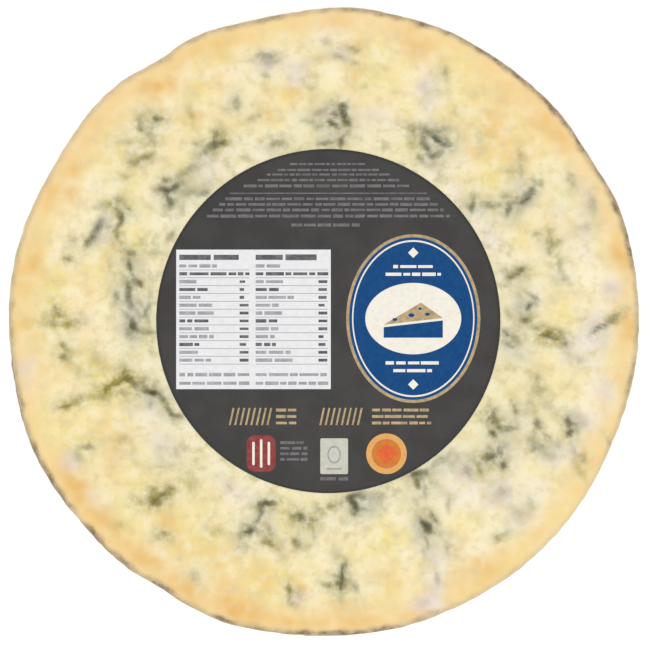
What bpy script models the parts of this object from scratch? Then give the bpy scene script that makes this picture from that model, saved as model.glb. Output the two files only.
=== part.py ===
"""Blue cheese wheel: half of a wheel cut across its height, with a round label on the cut face.

Metres, +Z up. The origin is the middle of the base, which stands on z = 0.
The cut face looks up. Rind covers the side and the base.
"""
from math import atan2, cos, exp, hypot, pi, radians, sin

import bmesh
import bpy
from mathutils import Vector, noise

MM = 0.001

# The wheel
WHEEL_RADIUS = 102.5 * MM
WHEEL_HEIGHT = 60.0 * MM
BASE_ROUND = 8.0 * MM
EDGE_WIDTH = 1.6 * MM
EDGE_DROP = 2.2 * MM
SIDE_BULGE = 0.8 * MM

# The edge of the cut face is worn rounder on one stretch
WORN_ANGLE = radians(190)
WORN_SPREAD = radians(26)
WORN_GROWTH = 1.1

# Relief of the cut face and of the rind
BROAD_WAVE = 60.0 * MM
BROAD_RISE = 0.35 * MM
CRUMB_WAVE = 13.0 * MM
CRUMB_RISE = 0.35 * MM
RIND_WAVE = 17.0 * MM
RIND_RISE = 0.9 * MM
RIND_SMOOTH_TOP = 6.0 * MM
RIPPLE_RISE = 0.3 * MM
RIPPLE_TURNS = 5.0
OUTLINE_INNER = 62.0 * MM

# Levels at which each unevenness is read from the noise, so that they don't repeat one another
RIPPLE_LEVEL = 0.4
BROAD_LEVEL = 3.7
CRUMB_LEVEL = 8.1

# The label
LABEL_RADIUS = 55.9 * MM
LABEL_THICKNESS = 0.3 * MM
LABEL_CENTRE = Vector((1.4 * MM, 0.3 * MM, 0.0))
LABEL_GAP = 0.3 * MM
LABEL_CLEAR = 4.0 * MM

# How finely the pieces are turned, and how near two corners count as one
SAME_PLACE = 0.001 * MM
WHEEL_STEPS = 120
LABEL_STEPS = 72
TOP_RING_PITCH = 3.0 * MM
TOP_INNER_RINGS = (46.0 * MM, 31.0 * MM, 16.0 * MM)
BASE_RINGS = (30.0 * MM, 60.0 * MM, 82.0 * MM)
LABEL_RINGS = (14.0 * MM, 28.0 * MM, 42.0 * MM, 51.0 * MM)
BASE_ROUND_SEGMENTS = 4
SIDE_SEGMENTS = 8
EDGE_SEGMENTS = 3

# Swells and flats of the outline: angle and half width in degrees, rise in millimetres
SWELLS = (
    (19, 7, 0.6), (32, 7, -0.7), (67, 7, 0.5), (84, 5, 0.5), (101, 11, -1.6), (122, 6, -1.7),
    (150, 10, -0.9), (174, 8, 0.4), (204, 10, 1.2), (238, 4, -0.9), (252, 5, 0.6), (270, 14, -0.3),
    (337, 12, -0.7),
)

# The deepest mould crevices of the cut face: angle in degrees, distance from the middle,
# half length, half width and depth in millimetres, and the turn of the length from the radius
CREVICES = (
    (3, 66, 3.0, 2.3, 1.4, 60), (14, 65.2, 2.4, 2.2, 1.2, 0), (31.5, 76, 6.0, 2.4, 1.4, 10),
    (35, 65.7, 2.4, 2.2, 1.2, 0), (58.5, 69.5, 4.6, 3.2, 2.0, 20), (64, 90, 2.4, 2.2, 1.0, 0),
    (85, 68.3, 3.0, 2.6, 2.0, 0), (107, 64, 3.0, 2.2, 0.8, 80), (121.5, 68.2, 2.8, 2.4, 1.4, 50),
    (129.3, 85.4, 2.4, 2.3, 1.8, 0), (135, 80.4, 4.6, 2.3, 1.0, 80), (139.5, 65.4, 3.4, 2.6, 1.6, 40),
    (151.5, 75.2, 3.4, 2.8, 1.6, 60), (160, 66.4, 4.4, 2.6, 1.4, 85), (170, 63.4, 5.0, 2.6, 1.6, 75),
    (179, 62.5, 4.0, 2.6, 1.4, 85), (166, 86, 2.4, 2.2, 1.2, 0), (186.6, 85.6, 2.4, 2.2, 1.2, 0),
    (196.8, 67, 4.6, 2.2, 1.0, 0), (198, 88.6, 2.6, 2.2, 1.0, 0), (225.7, 78.6, 3.2, 2.8, 1.6, 0),
    (250, 71, 3.0, 2.3, 1.2, 0), (256.5, 74, 2.4, 2.2, 1.0, 0), (263, 64, 2.4, 2.2, 1.2, 0),
    (273.6, 82.6, 4.0, 2.2, 1.2, 0), (296.7, 74.8, 3.2, 2.5, 1.8, 20), (320.6, 70.6, 3.4, 2.6, 1.8, 10),
    (330, 68, 3.2, 2.3, 1.2, 10), (336.6, 86, 3.0, 2.2, 1.6, 50), (356, 74.5, 3.2, 2.6, 1.0, 60),
)

CHEESE_COLOUR = (0.83, 0.71, 0.42, 1.0)
LABEL_COLOUR = (0.055, 0.055, 0.058, 1.0)


def clear_scene():
    """Remove every object that the file opens with."""
    for item in list(bpy.data.objects):
        bpy.data.objects.remove(item, do_unlink=True)


def ease(value, low, high):
    """Rise smoothly from 0 at low to 1 at high."""
    share = min(max((value - low) / (high - low), 0.0), 1.0)
    return share * share * (3.0 - 2.0 * share)


def angle_between(first, second):
    """Give the smaller angle between two directions, in radians."""
    turn = abs(first - second) % (2 * pi)
    return min(turn, 2 * pi - turn)


def swell(angle):
    """Give how far the outline stands out of the true circle at an angle."""
    rise = RIPPLE_RISE * noise.noise(Vector((cos(angle), sin(angle), RIPPLE_LEVEL)) * RIPPLE_TURNS)
    for centre, half, height in SWELLS:
        gap = angle_between(angle, radians(centre)) / radians(half)
        rise += height * MM * exp(-gap * gap)
    return rise


def worn(angle):
    """Give how much wider the rounded edge of the cut face is at an angle."""
    gap = angle_between(angle, WORN_ANGLE) / WORN_SPREAD
    return 1.0 + WORN_GROWTH * exp(-gap * gap)


def broad_height(x, y):
    """Give the gentle unevenness of the cut face, which the label follows."""
    return BROAD_RISE * noise.noise(Vector((x / BROAD_WAVE, y / BROAD_WAVE, BROAD_LEVEL)))


def crevice_depth(x, y):
    """Give the depth of the mould crevices at a place on the cut face."""
    depth = 0.0
    for angle, distance, half_length, half_width, deep, turn in CREVICES:
        way = radians(angle)
        dx = x / MM - distance * cos(way)
        dy = y / MM - distance * sin(way)
        way += radians(turn)
        along = (dx * cos(way) + dy * sin(way)) / half_length
        across = (dy * cos(way) - dx * sin(way)) / half_width
        depth = max(depth, deep * exp(-along * along - across * across))
    return depth * MM


def cut_height(x, y):
    """Give the height of the cut face over its flat level."""
    out = hypot(x - LABEL_CENTRE.x, y - LABEL_CENTRE.y)
    bare = ease(out, LABEL_RADIUS, LABEL_RADIUS + LABEL_CLEAR)
    crumb = CRUMB_RISE * noise.noise(Vector((x / CRUMB_WAVE, y / CRUMB_WAVE, CRUMB_LEVEL)))
    return broad_height(x, y) + bare * (crumb - crevice_depth(x, y))


def rind_relief(point):
    """Give how far the crusty rind stands in or out at a place on the side."""
    calm = 1.0 - ease(point.z, WHEEL_HEIGHT - RIND_SMOOTH_TOP, WHEEL_HEIGHT - EDGE_DROP)
    bulge = SIDE_BULGE * sin(pi * min(max(point.z / WHEEL_HEIGHT, 0.0), 1.0))
    bumps = RIND_RISE * noise.noise(point / RIND_WAVE)
    return bulge + calm * (bumps - 0.5 * RIND_RISE)


def wheel_profile():
    """Give the half section of the wheel, from the middle of the base round to the middle of the top."""
    points = [(0.0, 0.0)] + [(ring, 0.0) for ring in BASE_RINGS]
    for step in range(BASE_ROUND_SEGMENTS + 1):
        turn = step / BASE_ROUND_SEGMENTS * pi / 2
        points.append((WHEEL_RADIUS - BASE_ROUND * (1 - sin(turn)), BASE_ROUND * (1 - cos(turn))))
    side = WHEEL_HEIGHT - EDGE_DROP - BASE_ROUND
    for step in range(1, SIDE_SEGMENTS):
        points.append((WHEEL_RADIUS, BASE_ROUND + side * step / SIDE_SEGMENTS))
    for step in range(EDGE_SEGMENTS + 1):
        turn = step / EDGE_SEGMENTS * pi / 2
        inset = EDGE_WIDTH * (1 - cos(turn))
        points.append((WHEEL_RADIUS - inset, WHEEL_HEIGHT - EDGE_DROP * (1 - sin(turn))))
    ring = WHEEL_RADIUS - EDGE_WIDTH - TOP_RING_PITCH
    while ring > TOP_INNER_RINGS[0] + TOP_RING_PITCH:
        points.append((ring, WHEEL_HEIGHT))
        ring -= TOP_RING_PITCH
    points += [(inner, WHEEL_HEIGHT) for inner in TOP_INNER_RINGS]
    return points + [(0.0, WHEEL_HEIGHT)]


def turned(profile, steps):
    """Turn a half section round the Z axis into one closed shell."""
    mesh = bmesh.new()
    row = [mesh.verts.new((radius, 0.0, height)) for radius, height in profile]
    edges = [mesh.edges.new(pair) for pair in zip(row, row[1:])]
    bmesh.ops.spin(
        mesh, geom=row + edges, cent=(0, 0, 0), axis=(0, 0, 1), angle=2 * pi, steps=steps, use_merge=True
    )
    bmesh.ops.remove_doubles(mesh, verts=mesh.verts[:], dist=SAME_PLACE)
    bmesh.ops.recalc_face_normals(mesh, faces=mesh.faces[:])
    return mesh


def shape_wheel(mesh):
    """Give the turned wheel its uneven outline, its worn edge, its crusty side and its cut face."""
    for vert in mesh.verts:
        place = vert.co.copy()
        radius, angle = hypot(place.x, place.y), atan2(place.y, place.x)
        wear = worn(angle)
        out = WHEEL_RADIUS - radius
        drop = WHEEL_HEIGHT - place.z
        if drop <= EDGE_DROP + SAME_PLACE and out <= EDGE_WIDTH + SAME_PLACE:
            out *= wear
            drop *= wear
        move = swell(angle) * ease(radius, OUTLINE_INNER, WHEEL_RADIUS)
        if drop > 0.0 and radius > WHEEL_RADIUS - BASE_ROUND:
            move += rind_relief(place) * ease(radius, WHEEL_RADIUS - BASE_ROUND, WHEEL_RADIUS)
        radius = WHEEL_RADIUS - out + move
        vert.co.x, vert.co.y = radius * cos(angle), radius * sin(angle)
        vert.co.z = WHEEL_HEIGHT - drop
        if place.z > WHEEL_HEIGHT - EDGE_DROP:
            share = ease(place.z, WHEEL_HEIGHT - EDGE_DROP, WHEEL_HEIGHT)
            vert.co.z += share * cut_height(vert.co.x, vert.co.y)


def shape_label(mesh):
    """Lay the turned label on the cut face, so that it follows the gentle unevenness."""
    for vert in mesh.verts:
        vert.co.x += LABEL_CENTRE.x
        vert.co.y += LABEL_CENTRE.y
        vert.co.z += WHEEL_HEIGHT + LABEL_GAP + broad_height(vert.co.x, vert.co.y)


def make_material(name, colour, roughness):
    """Make a plain finish."""
    material = bpy.data.materials.new(name)
    material.use_nodes = True
    shader = material.node_tree.nodes["Principled BSDF"]
    shader.inputs["Base Color"].default_value = colour
    shader.inputs["Roughness"].default_value = roughness
    shader.inputs["Metallic"].default_value = 0.0
    material.diffuse_color = colour
    return material


def add_piece(name, mesh, material, sharp_degrees):
    """Make an object from a finished mesh and shade it smooth up to a sharp angle."""
    data = bpy.data.meshes.new(name)
    mesh.to_mesh(data)
    mesh.free()
    data.materials.append(material)
    data.shade_smooth()
    data.set_sharp_from_angle(angle=radians(sharp_degrees))
    piece = bpy.data.objects.new(name, data)
    bpy.context.scene.collection.objects.link(piece)
    return piece


def build_cheese():
    """Build the wheel of cheese with its rind and its cut face."""
    mesh = turned(wheel_profile(), WHEEL_STEPS)
    shape_wheel(mesh)
    return add_piece("cheese_wheel", mesh, make_material("blue_cheese", CHEESE_COLOUR, 0.5), 40)


def build_label():
    """Build the round label."""
    rings = LABEL_RINGS + (LABEL_RADIUS,)
    under = [(0.0, 0.0)] + [(ring, 0.0) for ring in rings]
    upper = [(radius, LABEL_THICKNESS) for radius, _ in reversed(under)]
    mesh = turned(under + upper, LABEL_STEPS)
    shape_label(mesh)
    return add_piece("label", mesh, make_material("label_paper", LABEL_COLOUR, 0.45), 40)


def main():
    """Build the whole part."""
    clear_scene()
    build_cheese()
    build_label()


main()
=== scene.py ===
"""Looks of a blue cheese wheel: half a wheel cut across, cut face up, with a round label on it.

Metres, +Z up, in the frame of the solids. Lengths written with MM are in millimetres.
"""

import logging
import random
from dataclasses import dataclass
from enum import Enum
from math import cos, pi, radians, sin
from typing import Iterator, Sequence, Union

import bmesh
import bpy
import numpy as np
from mathutils import Matrix, Vector, noise


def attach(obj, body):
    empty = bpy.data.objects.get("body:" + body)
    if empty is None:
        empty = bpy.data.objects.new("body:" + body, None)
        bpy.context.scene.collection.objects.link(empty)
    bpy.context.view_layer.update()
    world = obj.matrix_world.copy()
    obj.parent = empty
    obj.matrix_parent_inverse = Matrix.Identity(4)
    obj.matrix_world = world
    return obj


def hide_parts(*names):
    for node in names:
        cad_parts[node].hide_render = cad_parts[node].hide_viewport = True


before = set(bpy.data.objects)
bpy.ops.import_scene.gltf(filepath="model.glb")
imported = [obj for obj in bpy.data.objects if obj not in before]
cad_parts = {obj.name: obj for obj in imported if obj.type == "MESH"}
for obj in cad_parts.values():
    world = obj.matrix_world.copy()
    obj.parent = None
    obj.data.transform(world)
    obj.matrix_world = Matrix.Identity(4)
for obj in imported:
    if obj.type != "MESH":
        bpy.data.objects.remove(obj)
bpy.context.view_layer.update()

LOG = logging.getLogger("cheese")
BODY = "root"
MM = 0.001

# Corners that lie closer together than this are one corner
SAME_PLACE = 0.001 * MM

# Faces that meet more steeply than this keep a crisp edge between them
SHARP_ANGLE = radians(40)

# How bright a white surface on the cut face looks in the studio light, where 1 is paper white
LIGHT_LEVEL = 1.65

# How much of that light is sheen, which a dark surface has too: on most surfaces, and on the dullest ink
SHEEN_LEVEL = 0.036
DULL_SHEEN_LEVEL = 0.007

# The least light that a colour gives back besides its sheen
DARKEST = 0.003

Points = np.ndarray
Values = np.ndarray
Rows = tuple[tuple[float, ...], ...]


def ease(value: Values, low: float, high: float) -> Values:
    """Rise smoothly from 0 to 1 between two levels.

    Args:
        value: The numbers to judge.
        low: The level that gives 0.
        high: The level that gives 1. It may be the lower of the two.

    Returns:
        The eased share for each number.
    """
    share = np.clip((value - low) / (high - low), 0.0, 1.0)
    return share * share * (3.0 - 2.0 * share)


def bump_at(angle: Values, centre: float, half: float) -> Values:
    """Give a bell that stands at one direction of the wheel.

    Args:
        angle: Directions in radians.
        centre: The bell's direction in degrees.
        half: The bell's half width in degrees.

    Returns:
        The bell's height, 1 at its centre.
    """
    turn = np.abs(angle - radians(centre)) % (2 * pi)
    gap = np.minimum(turn, 2 * pi - turn) / radians(half)
    return np.exp(-gap * gap)


def seen_from(
    x: Values, y: Values, angle: float, distance: float, turn: float = 0.0
) -> tuple[Values, Values]:
    """Measure places from one spot of the cut face, along a direction and across it.

    Args:
        x: Places along X.
        y: Places along Y.
        angle: The spot's direction from the middle, in degrees.
        distance: The spot's distance from the middle, in millimetres.
        turn: How far the direction is turned from the radius, in degrees.

    Returns:
        Millimetres along the direction and across it.
    """
    way = radians(angle)
    from_x, from_y = x / MM - distance * cos(way), y / MM - distance * sin(way)
    way += radians(turn)
    return from_x * cos(way) + from_y * sin(way), from_y * cos(way) - from_x * sin(way)


def linear_light(shown: float) -> float:
    """Turn a screen level from 0 to 1 into linear light, by the standard screen curve."""
    return shown / 12.92 if shown <= 0.04045 else ((shown + 0.055) / 1.055) ** 2.4


@dataclass(frozen=True)
class Hue:
    """A colour as it looks in the studio light, from 0 to 255, and the sheen that lies over it."""

    red: float
    green: float
    blue: float
    sheen: float = SHEEN_LEVEL

    def albedo(self) -> tuple[float, ...]:
        """Give the surface colour that looks so.

        Returns:
            Linear red, green and blue, and an alpha of 1.
        """
        lights = [linear_light(part / 255.0) for part in (self.red, self.green, self.blue)]
        return (*(max(light - self.sheen, DARKEST) / LIGHT_LEVEL for light in lights), 1.0)


@dataclass(frozen=True)
class Relief:
    """A smooth random unevenness: the length of its waves, how far it rises, and its own level."""

    wave: float
    rise: float
    level: float = 0.0

    def over(self, x: Values, y: Values) -> Values:
        """Give the unevenness of a flat face.

        Args:
            x: Places along X.
            y: Places along Y.

        Returns:
            The height at each place.
        """
        read, wave, level = noise.noise, self.wave, self.level
        heights = [read(Vector((a / wave, b / wave, level))) for a, b in zip(x.tolist(), y.tolist())]
        return self.rise * np.array(heights)

    def through(self, places: Points) -> Values:
        """Give the unevenness at places in space.

        Args:
            places: One row of X, Y and Z for each place.

        Returns:
            The height at each place.
        """
        read, shift = noise.noise, Vector((0.0, 0.0, self.level))
        heights = [read(Vector(row) / self.wave + shift) for row in places.tolist()]
        return self.rise * np.array(heights)


class Stain(Enum):
    """What a soft patch of the paste is tinted with, and the name of its attribute."""

    WARM = "warm"
    PALE = "pale"
    LEMON = "lemon"
    COOL = "cool"
    VIOLET = "violet"


# Mould marks of the cut face, each read off: angle and distance from the middle, half length
# and half width in millimetres, the turn of the length from the radius, strength, and how olive it is
MARKS_BACK_RIGHT: Rows = (
    (.7, 65, 1.9, .8, 26, .75, .4), (.7, 93.3, 2.2, .9, 39, .58, .5), (.9, 83.5, 2.2, .8, 13, .22, .7),
    (1.8, 95.9, 2.6, .8, 25, .48, 1), (2.6, 60.2, 2, 1, -54, .3, .2), (4.6, 66.5, 1.9, .8, 47, .85, .1),
    (5.8, 68.9, 1.6, .7, 62, .4, .1), (7.7, 67.9, 2.7, .8, -39, .4, .1), (8.1, 64.3, 1.1, .6, -53, .25, .5),
    (10.8, 79.6, 3.2, 1.2, -66, .24, .3), (14.1, 78.7, 1.8, .8, 76, .5, .85),
    (14.1, 63.7, 2.1, .9, 20, .76, .6), (15.3, 66.4, 1.7, .7, 3, .7, .8),
    (15.7, 60.9, 1.8, 1.2, -49, .35, .5), (17.2, 76.7, 2, 1, 82, .28, .8),
    (19.2, 78.1, 2.1, 1.1, 89, .58, .8), (19.3, 80.6, 1.8, .8, -1, .25, .6),
    (20.2, 89.8, 2, 1.5, -39, .2, .2), (22.4, 79.1, 1.4, .7, 4, .33, .8),
    (22.7, 75.4, 2.1, .8, -30, .45, .8), (24, 95.1, 3.6, 1.3, 70, .3, .6),
    (30, 92.7, 2.8, 1.3, 87, .38, .3), (31.4, 76.1, 1.9, .9, -13, .7, .1),
    (31.9, 70.3, 2.1, .9, 50, .72, 0), (31.9, 80.5, 1.6, .6, 49, .35, .1),
    (32.3, 78.6, 2.7, 1, 29, .72, .1), (32.6, 73.3, 1.8, .8, 19, .35, 0),
    (33.1, 80.1, 1.3, .9, 83, .35, .3), (33.6, 83.1, 1.6, 1, -48, .6, .6), (34, 68.2, 1.5, .6, -71, .3, .3),
    (35.2, 71.8, 1.7, .9, -47, .36, .7), (35.3, 66.1, 1.7, 1, -49, .68, .7),
    (38.1, 81, 2.5, .9, 52, .32, .3), (38.3, 61.1, 2, .8, 44, .72, .3), (39.2, 78, 2, .7, -39, .35, .7),
    (39.3, 60, 1.5, .8, -66, .35, .2), (40.3, 63.7, 1.8, .8, 40, .42, .6),
    (40.7, 83.8, 1.5, .8, -86, .42, .8), (50.3, 78.9, 2.5, 1.2, 54, .26, .8),
    (53.8, 73.4, 2.4, .6, 41, .2, .5), (55.7, 70, 2.1, .9, -40, .6, .2), (56.1, 71.7, 1.7, .8, 56, .45, .2),
    (56.4, 66.1, 2.1, .8, -33, .45, .3), (57.6, 64.4, 1.9, .9, 71, .62, .4),
    (57.8, 74.8, 2, 1, 84, .25, .4), (58.4, 80.6, 1.5, .9, 65, .3, .9), (58.5, 70, 2.8, 1, 88, 1, .1),
    (59.2, 61.8, 2.1, 1, 76, .5, .7), (60, 72.4, 2.7, .8, -50, .42, .2), (60.1, 66.3, 2.1, 1, 56, .8, .4),
    (62.1, 67.6, 1.8, .8, 37, .45, .5), (62.6, 70.6, 2.7, 1, -84, .4, .4),
    (62.6, 69.1, 1.5, .8, 54, .3, .5), (63.6, 83.7, 2.1, 1.3, 63, .2, .3),
    (64.2, 90.4, 1.8, 1, 26, .52, .6), (64.6, 65.6, 1.9, .9, 56, .22, .9),
    (64.7, 67.7, 1.4, .8, 59, .35, .7), (66.4, 68.9, 1.9, .8, 62, .35, .7),
    (80.2, 78.4, 1.2, .9, -80, .25, .9), (83.5, 65.7, 1.3, .8, 52, .75, .5),
    (83.6, 85.1, 1.7, 1, 82, .33, .6), (83.8, 89.8, 2.1, .7, 82, .5, .7), (84.6, 59.4, 2.2, .9, 5, .85, .4),
    (84.8, 63.3, 1.6, 1, 61, .3, .7), (84.9, 68, 2.6, 1, 24, 1, .25), (85.3, 70.9, 1.8, .7, 68, .85, .3),
    (87.1, 86.8, 2.2, 1, 77, .42, 0), (87.2, 67.9, 1.5, .8, 66, .62, .2), (87.7, 65.2, 2.2, .8, 72, 1, .4),
    (89.8, 58.8, 3, .8, -81, .55, .2), (89.8, 91.4, 2.5, 1.4, 64, .24, 0),
)
MARKS_BACK_LEFT: Rows = (
    (90.7, 69.2, 3, .9, -62, .38, 0), (91.6, 63.8, 1.7, .8, -80, .36, .3),
    (93.8, 65.6, 3.2, .7, 75, .34, .2), (94.2, 77.5, 2.5, 1.4, 70, .27, .8),
    (100.7, 87.3, 2, 1, 61, .33, .1), (102.6, 89.2, 2.6, 1, 77, .6, 0), (103.5, 83, 1.6, 1, 58, .46, .3),
    (105, 60.3, 2.3, 1, 82, .62, .7), (107.1, 72.5, 1.8, 1, -6, .22, 1), (109, 70.8, 2.1, 1.1, 89, .36, .9),
    (111.8, 77.3, 2.5, 1.2, -15, .42, .4), (114.5, 76.4, 2.2, .7, 66, .33, .9),
    (115.5, 59.2, 1.8, 1, 53, .28, .5), (117.5, 69.9, 1.6, 1, 29, .26, .9),
    (119.4, 67.5, 1.8, .8, 61, .6, .5), (120.4, 70.2, 2.2, 1.1, -39, .82, .7),
    (121.8, 68.4, 3, 1, 68, .9, .5), (122.3, 80.6, 3, 1, -27, .33, 1), (124.7, 67.9, 1.7, 1, 82, .42, .3),
    (125.7, 72.6, 1.8, 1.1, 9, .26, .4), (126.3, 67.7, 1.4, .8, 87, .28, .3),
    (129.2, 85.7, 1.8, 1.2, 37, .86, .7), (130.7, 66.2, 3.5, 1.2, 61, .5, .4),
    (131.6, 85.6, 1.4, .7, 48, .33, .4), (132.8, 88.5, 2.3, 1, -43, .64, .7),
    (132.9, 85.8, 1.9, 1.1, 10, .38, .5), (132.9, 82.6, 2, 1.1, -21, .3, .8),
    (133.1, 57.8, 2.5, .9, 71, .58, .2), (133.5, 80.9, 2.2, 1, 55, .38, .9),
    (133.7, 67.2, 1.6, 1, 60, .33, .3), (135.7, 61.1, 1.7, .9, 56, .48, .7),
    (135.8, 65.4, 1.4, .9, 63, .38, .1), (136.8, 79.1, 2.4, .9, 56, .62, .8),
    (137.6, 87.7, 2.9, 1.4, 30, .36, .8), (137.8, 65.7, 1.9, .9, 61, .88, .2),
    (138.1, 69.8, 1.2, .8, 15, .7, .7), (139.7, 81.1, 2.1, 1, 48, .6, .9), (139.9, 67.1, 2, 1, 40, .9, 0),
    (140.7, 69.2, 1.5, .9, 39, .48, .3), (141.6, 64, 2.1, 1.1, -21, .85, .3),
    (143.6, 63.7, 1.7, .9, 0, .36, .1), (143.7, 80.6, 2.3, 1, 36, .33, 1),
    (149.2, 78.1, 2.2, .9, -66, .58, .7), (149.4, 74.6, 1.5, .9, -3, .64, .9),
    (150.1, 57.5, 2.3, .9, 84, .5, .5), (151.1, 79.6, 1.3, .7, 10, .42, .6),
    (151.6, 81.8, 1.2, .7, 28, .26, .7), (151.7, 76.2, 2.1, .9, -54, .32, .5),
    (153, 83.2, 1.5, .9, 13, .33, .7), (153.1, 74.1, 2, .8, -71, .86, .4),
    (155.1, 74.3, 1.8, .9, 84, .62, .5), (155.8, 76.4, 1.6, .8, 36, .38, .2),
    (156.2, 65.1, 1.6, 1, 57, .3, .8), (156.8, 79.9, 3.3, 1.1, 87, .68, 0),
    (157, 73.1, 2, .7, -67, .54, .95), (157.1, 59.6, 2, 1, 32, .48, .5), (158.4, 71.4, 1.8, 1, 0, .26, 1),
    (160.1, 67.2, 2.4, 1, 14, .5, .5), (160.1, 80.9, 2.1, 1, 76, .78, .3),
    (160.1, 70.1, 1.6, 1, 6, .33, .7), (161.5, 86.3, 1.7, 1, 4, .42, .7), (162, 81.5, 1.7, .8, -83, .36, 0),
    (163.3, 66.6, 2, 1, -64, .72, .3), (164.6, 72.5, 1.7, .8, -53, .44, 1),
    (165.5, 64.8, 2.3, .8, -49, .42, .3), (165.8, 85.8, 1.6, 1, 14, .7, .8),
    (167, 70.5, 1.4, .8, -21, .28, .9), (167.7, 62.2, 2.4, 1.2, -21, .85, .7),
    (170.3, 64.6, 2.6, 1.1, -80, .64, 0), (172.4, 68.5, 1.9, .9, -82, .68, .4),
    (173.7, 63.6, 2.6, 1, -65, .54, .3), (174, 60.3, 1.5, .8, -39, .32, .5),
    (175.9, 58.3, 2.6, .8, 72, .74, .2), (176.5, 61, 1.5, .8, -42, .28, .2),
    (177.2, 65, 2, 1.1, -42, .28, 0), (177.5, 87, 2.4, 1.3, -61, .68, 1), (177.9, 79.3, 1.9, 1, 2, .26, .4),
    (179.1, 57.5, 1.9, .8, -71, .33, .3), (179.5, 80.9, 1.7, 1, -13, .54, .9),
    (179.9, 88.7, 3.4, 1.1, -4, .58, 1),
)
MARKS_FRONT_LEFT: Rows = (
    (189.1, 75, 3, 2.2, 20, .24, 1), (180.4, 83.2, 1.6, 1, -14, .28, 1), (180.6, 62.4, 2.3, 1, -77, .9, 0),
    (182.2, 60.6, 1.4, .8, -36, .36, .3), (182.8, 63.7, 1.8, .9, -71, .52, .1),
    (182.8, 57.4, 2.3, .9, 4, .52, .5), (185.1, 85.1, 1.6, .8, -68, .58, 1),
    (187.3, 85.5, 1.8, 1.1, -21, .8, 1), (189.6, 57, 1.7, 1, -73, .28, .5),
    (191.7, 80, 2.5, 1.4, -30, .23, .8), (193.2, 66.6, 2.3, 1.2, 69, .33, .7),
    (195.9, 68.7, 2.3, 1, 14, .74, .9), (196.1, 65.9, 3, 1.1, -47, .85, .85),
    (196.6, 72.5, 2.4, 1, 4, .7, 1), (197.1, 74.8, 1.9, .8, 9, .42, 1), (197.1, 83.4, 2.9, 1, 7, .48, 1),
    (197.3, 61.9, 3.1, 1.1, -22, .38, .7), (197.6, 88.8, 2.4, .9, -11, .75, 1),
    (198.6, 64.9, 2.1, 1, -64, .7, .7), (198.6, 76.4, 2.4, 1.1, -33, .33, 1),
    (198.9, 69.4, 2, 1, -37, .46, 1), (199.4, 61.7, 2.7, 1.2, -46, .48, .3),
    (201.8, 60.5, 2.4, .8, -33, 1, .2), (204.2, 58.2, 1.7, .7, -83, .55, .3),
    (204.3, 62.2, 1.9, .7, 74, .28, .2), (207.1, 57.8, 2.5, 1, -85, .54, .4),
    (207.5, 87, 1.8, 1, -16, .68, .6), (208.6, 91.2, 2.9, 1.4, -69, .28, 0),
    (210.1, 75.1, 2.5, 1.4, -12, .24, .8), (210.1, 57.8, 1.8, .8, -75, .5, .4),
    (211.9, 56.6, 1.9, .9, -50, .74, .2), (213.9, 75.7, 2, 1.2, -87, .23, .7),
    (221, 63.2, 2.7, 1.2, 37, .23, .3), (221.9, 69.6, 2.8, 1.3, -42, .27, .4),
    (223.6, 83, 2.5, 1.4, -77, .32, .9), (223.8, 77.8, 2, 1, -53, .48, .8),
    (224.7, 93.1, 1.7, 1.2, -26, .28, 1), (226.4, 76.8, 2.6, 1, -10, .78, .8),
    (226.5, 79.8, 2.8, 1.2, -47, .95, .8), (226.5, 72.9, 1.4, .7, -1, .42, .7),
    (227.6, 74.2, 1.7, .8, -11, .52, .7), (231, 67.8, 2.9, 1.6, 46, .33, .95),
    (232.6, 85.9, 1.8, .9, -74, .64, .6), (232.8, 87.8, 1.8, 1, -75, .25, .6),
    (241.9, 76.3, 2.3, 1.4, -84, .33, 1), (243, 92.1, 3, 1.4, 45, .26, .7),
    (248.6, 75.1, 1.8, .8, 12, .35, .2), (249.3, 70.4, 1.8, .8, 80, .45, .2),
    (249.4, 77.6, 2, 1.2, -33, .33, .1), (249.8, 71.9, 2.3, .9, -63, .95, .3),
    (251.1, 68.7, 2, .6, -2, .64, .2), (251.2, 61.8, 2.2, 1, -71, 1, .5),
    (251.3, 63.3, 1.3, .8, 37, .7, .3), (251.3, 77.4, 1.8, 1, -83, .24, .2),
    (251.4, 65.5, 2, .6, -2, .55, .1), (253.5, 61, 2, .9, -73, .95, .5), (254.5, 68.8, 1.7, .9, 52, .4, .1),
    (255.9, 70.9, 1.7, .8, 36, .33, .3), (255.9, 73.8, 2.6, 1, 80, .68, .95),
    (259.7, 75.3, 3.4, 1.4, 24, .2, .3), (260.7, 63.4, 2.6, 1.2, 64, .42, .9),
    (262.5, 86.9, 1.8, .7, 26, .84, 1), (262.6, 71.9, 1.7, 1, 52, .74, .6),
    (263, 63.7, 2.1, 1.3, 60, .96, .7), (263.1, 91.2, 1.3, .7, 41, .48, .2),
    (264.1, 92.1, 1.1, .6, 51, .2, .4), (264.8, 88.9, 1.6, .7, 27, .38, .4),
    (266.1, 72.2, 3.1, 1.1, -51, .22, .4), (266.9, 63.8, 1.6, .8, -87, .48, .5),
    (267.1, 68.4, 2.5, .8, 9, .42, .5), (267.7, 60.5, 1.7, .8, 70, .48, .7),
)
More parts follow.
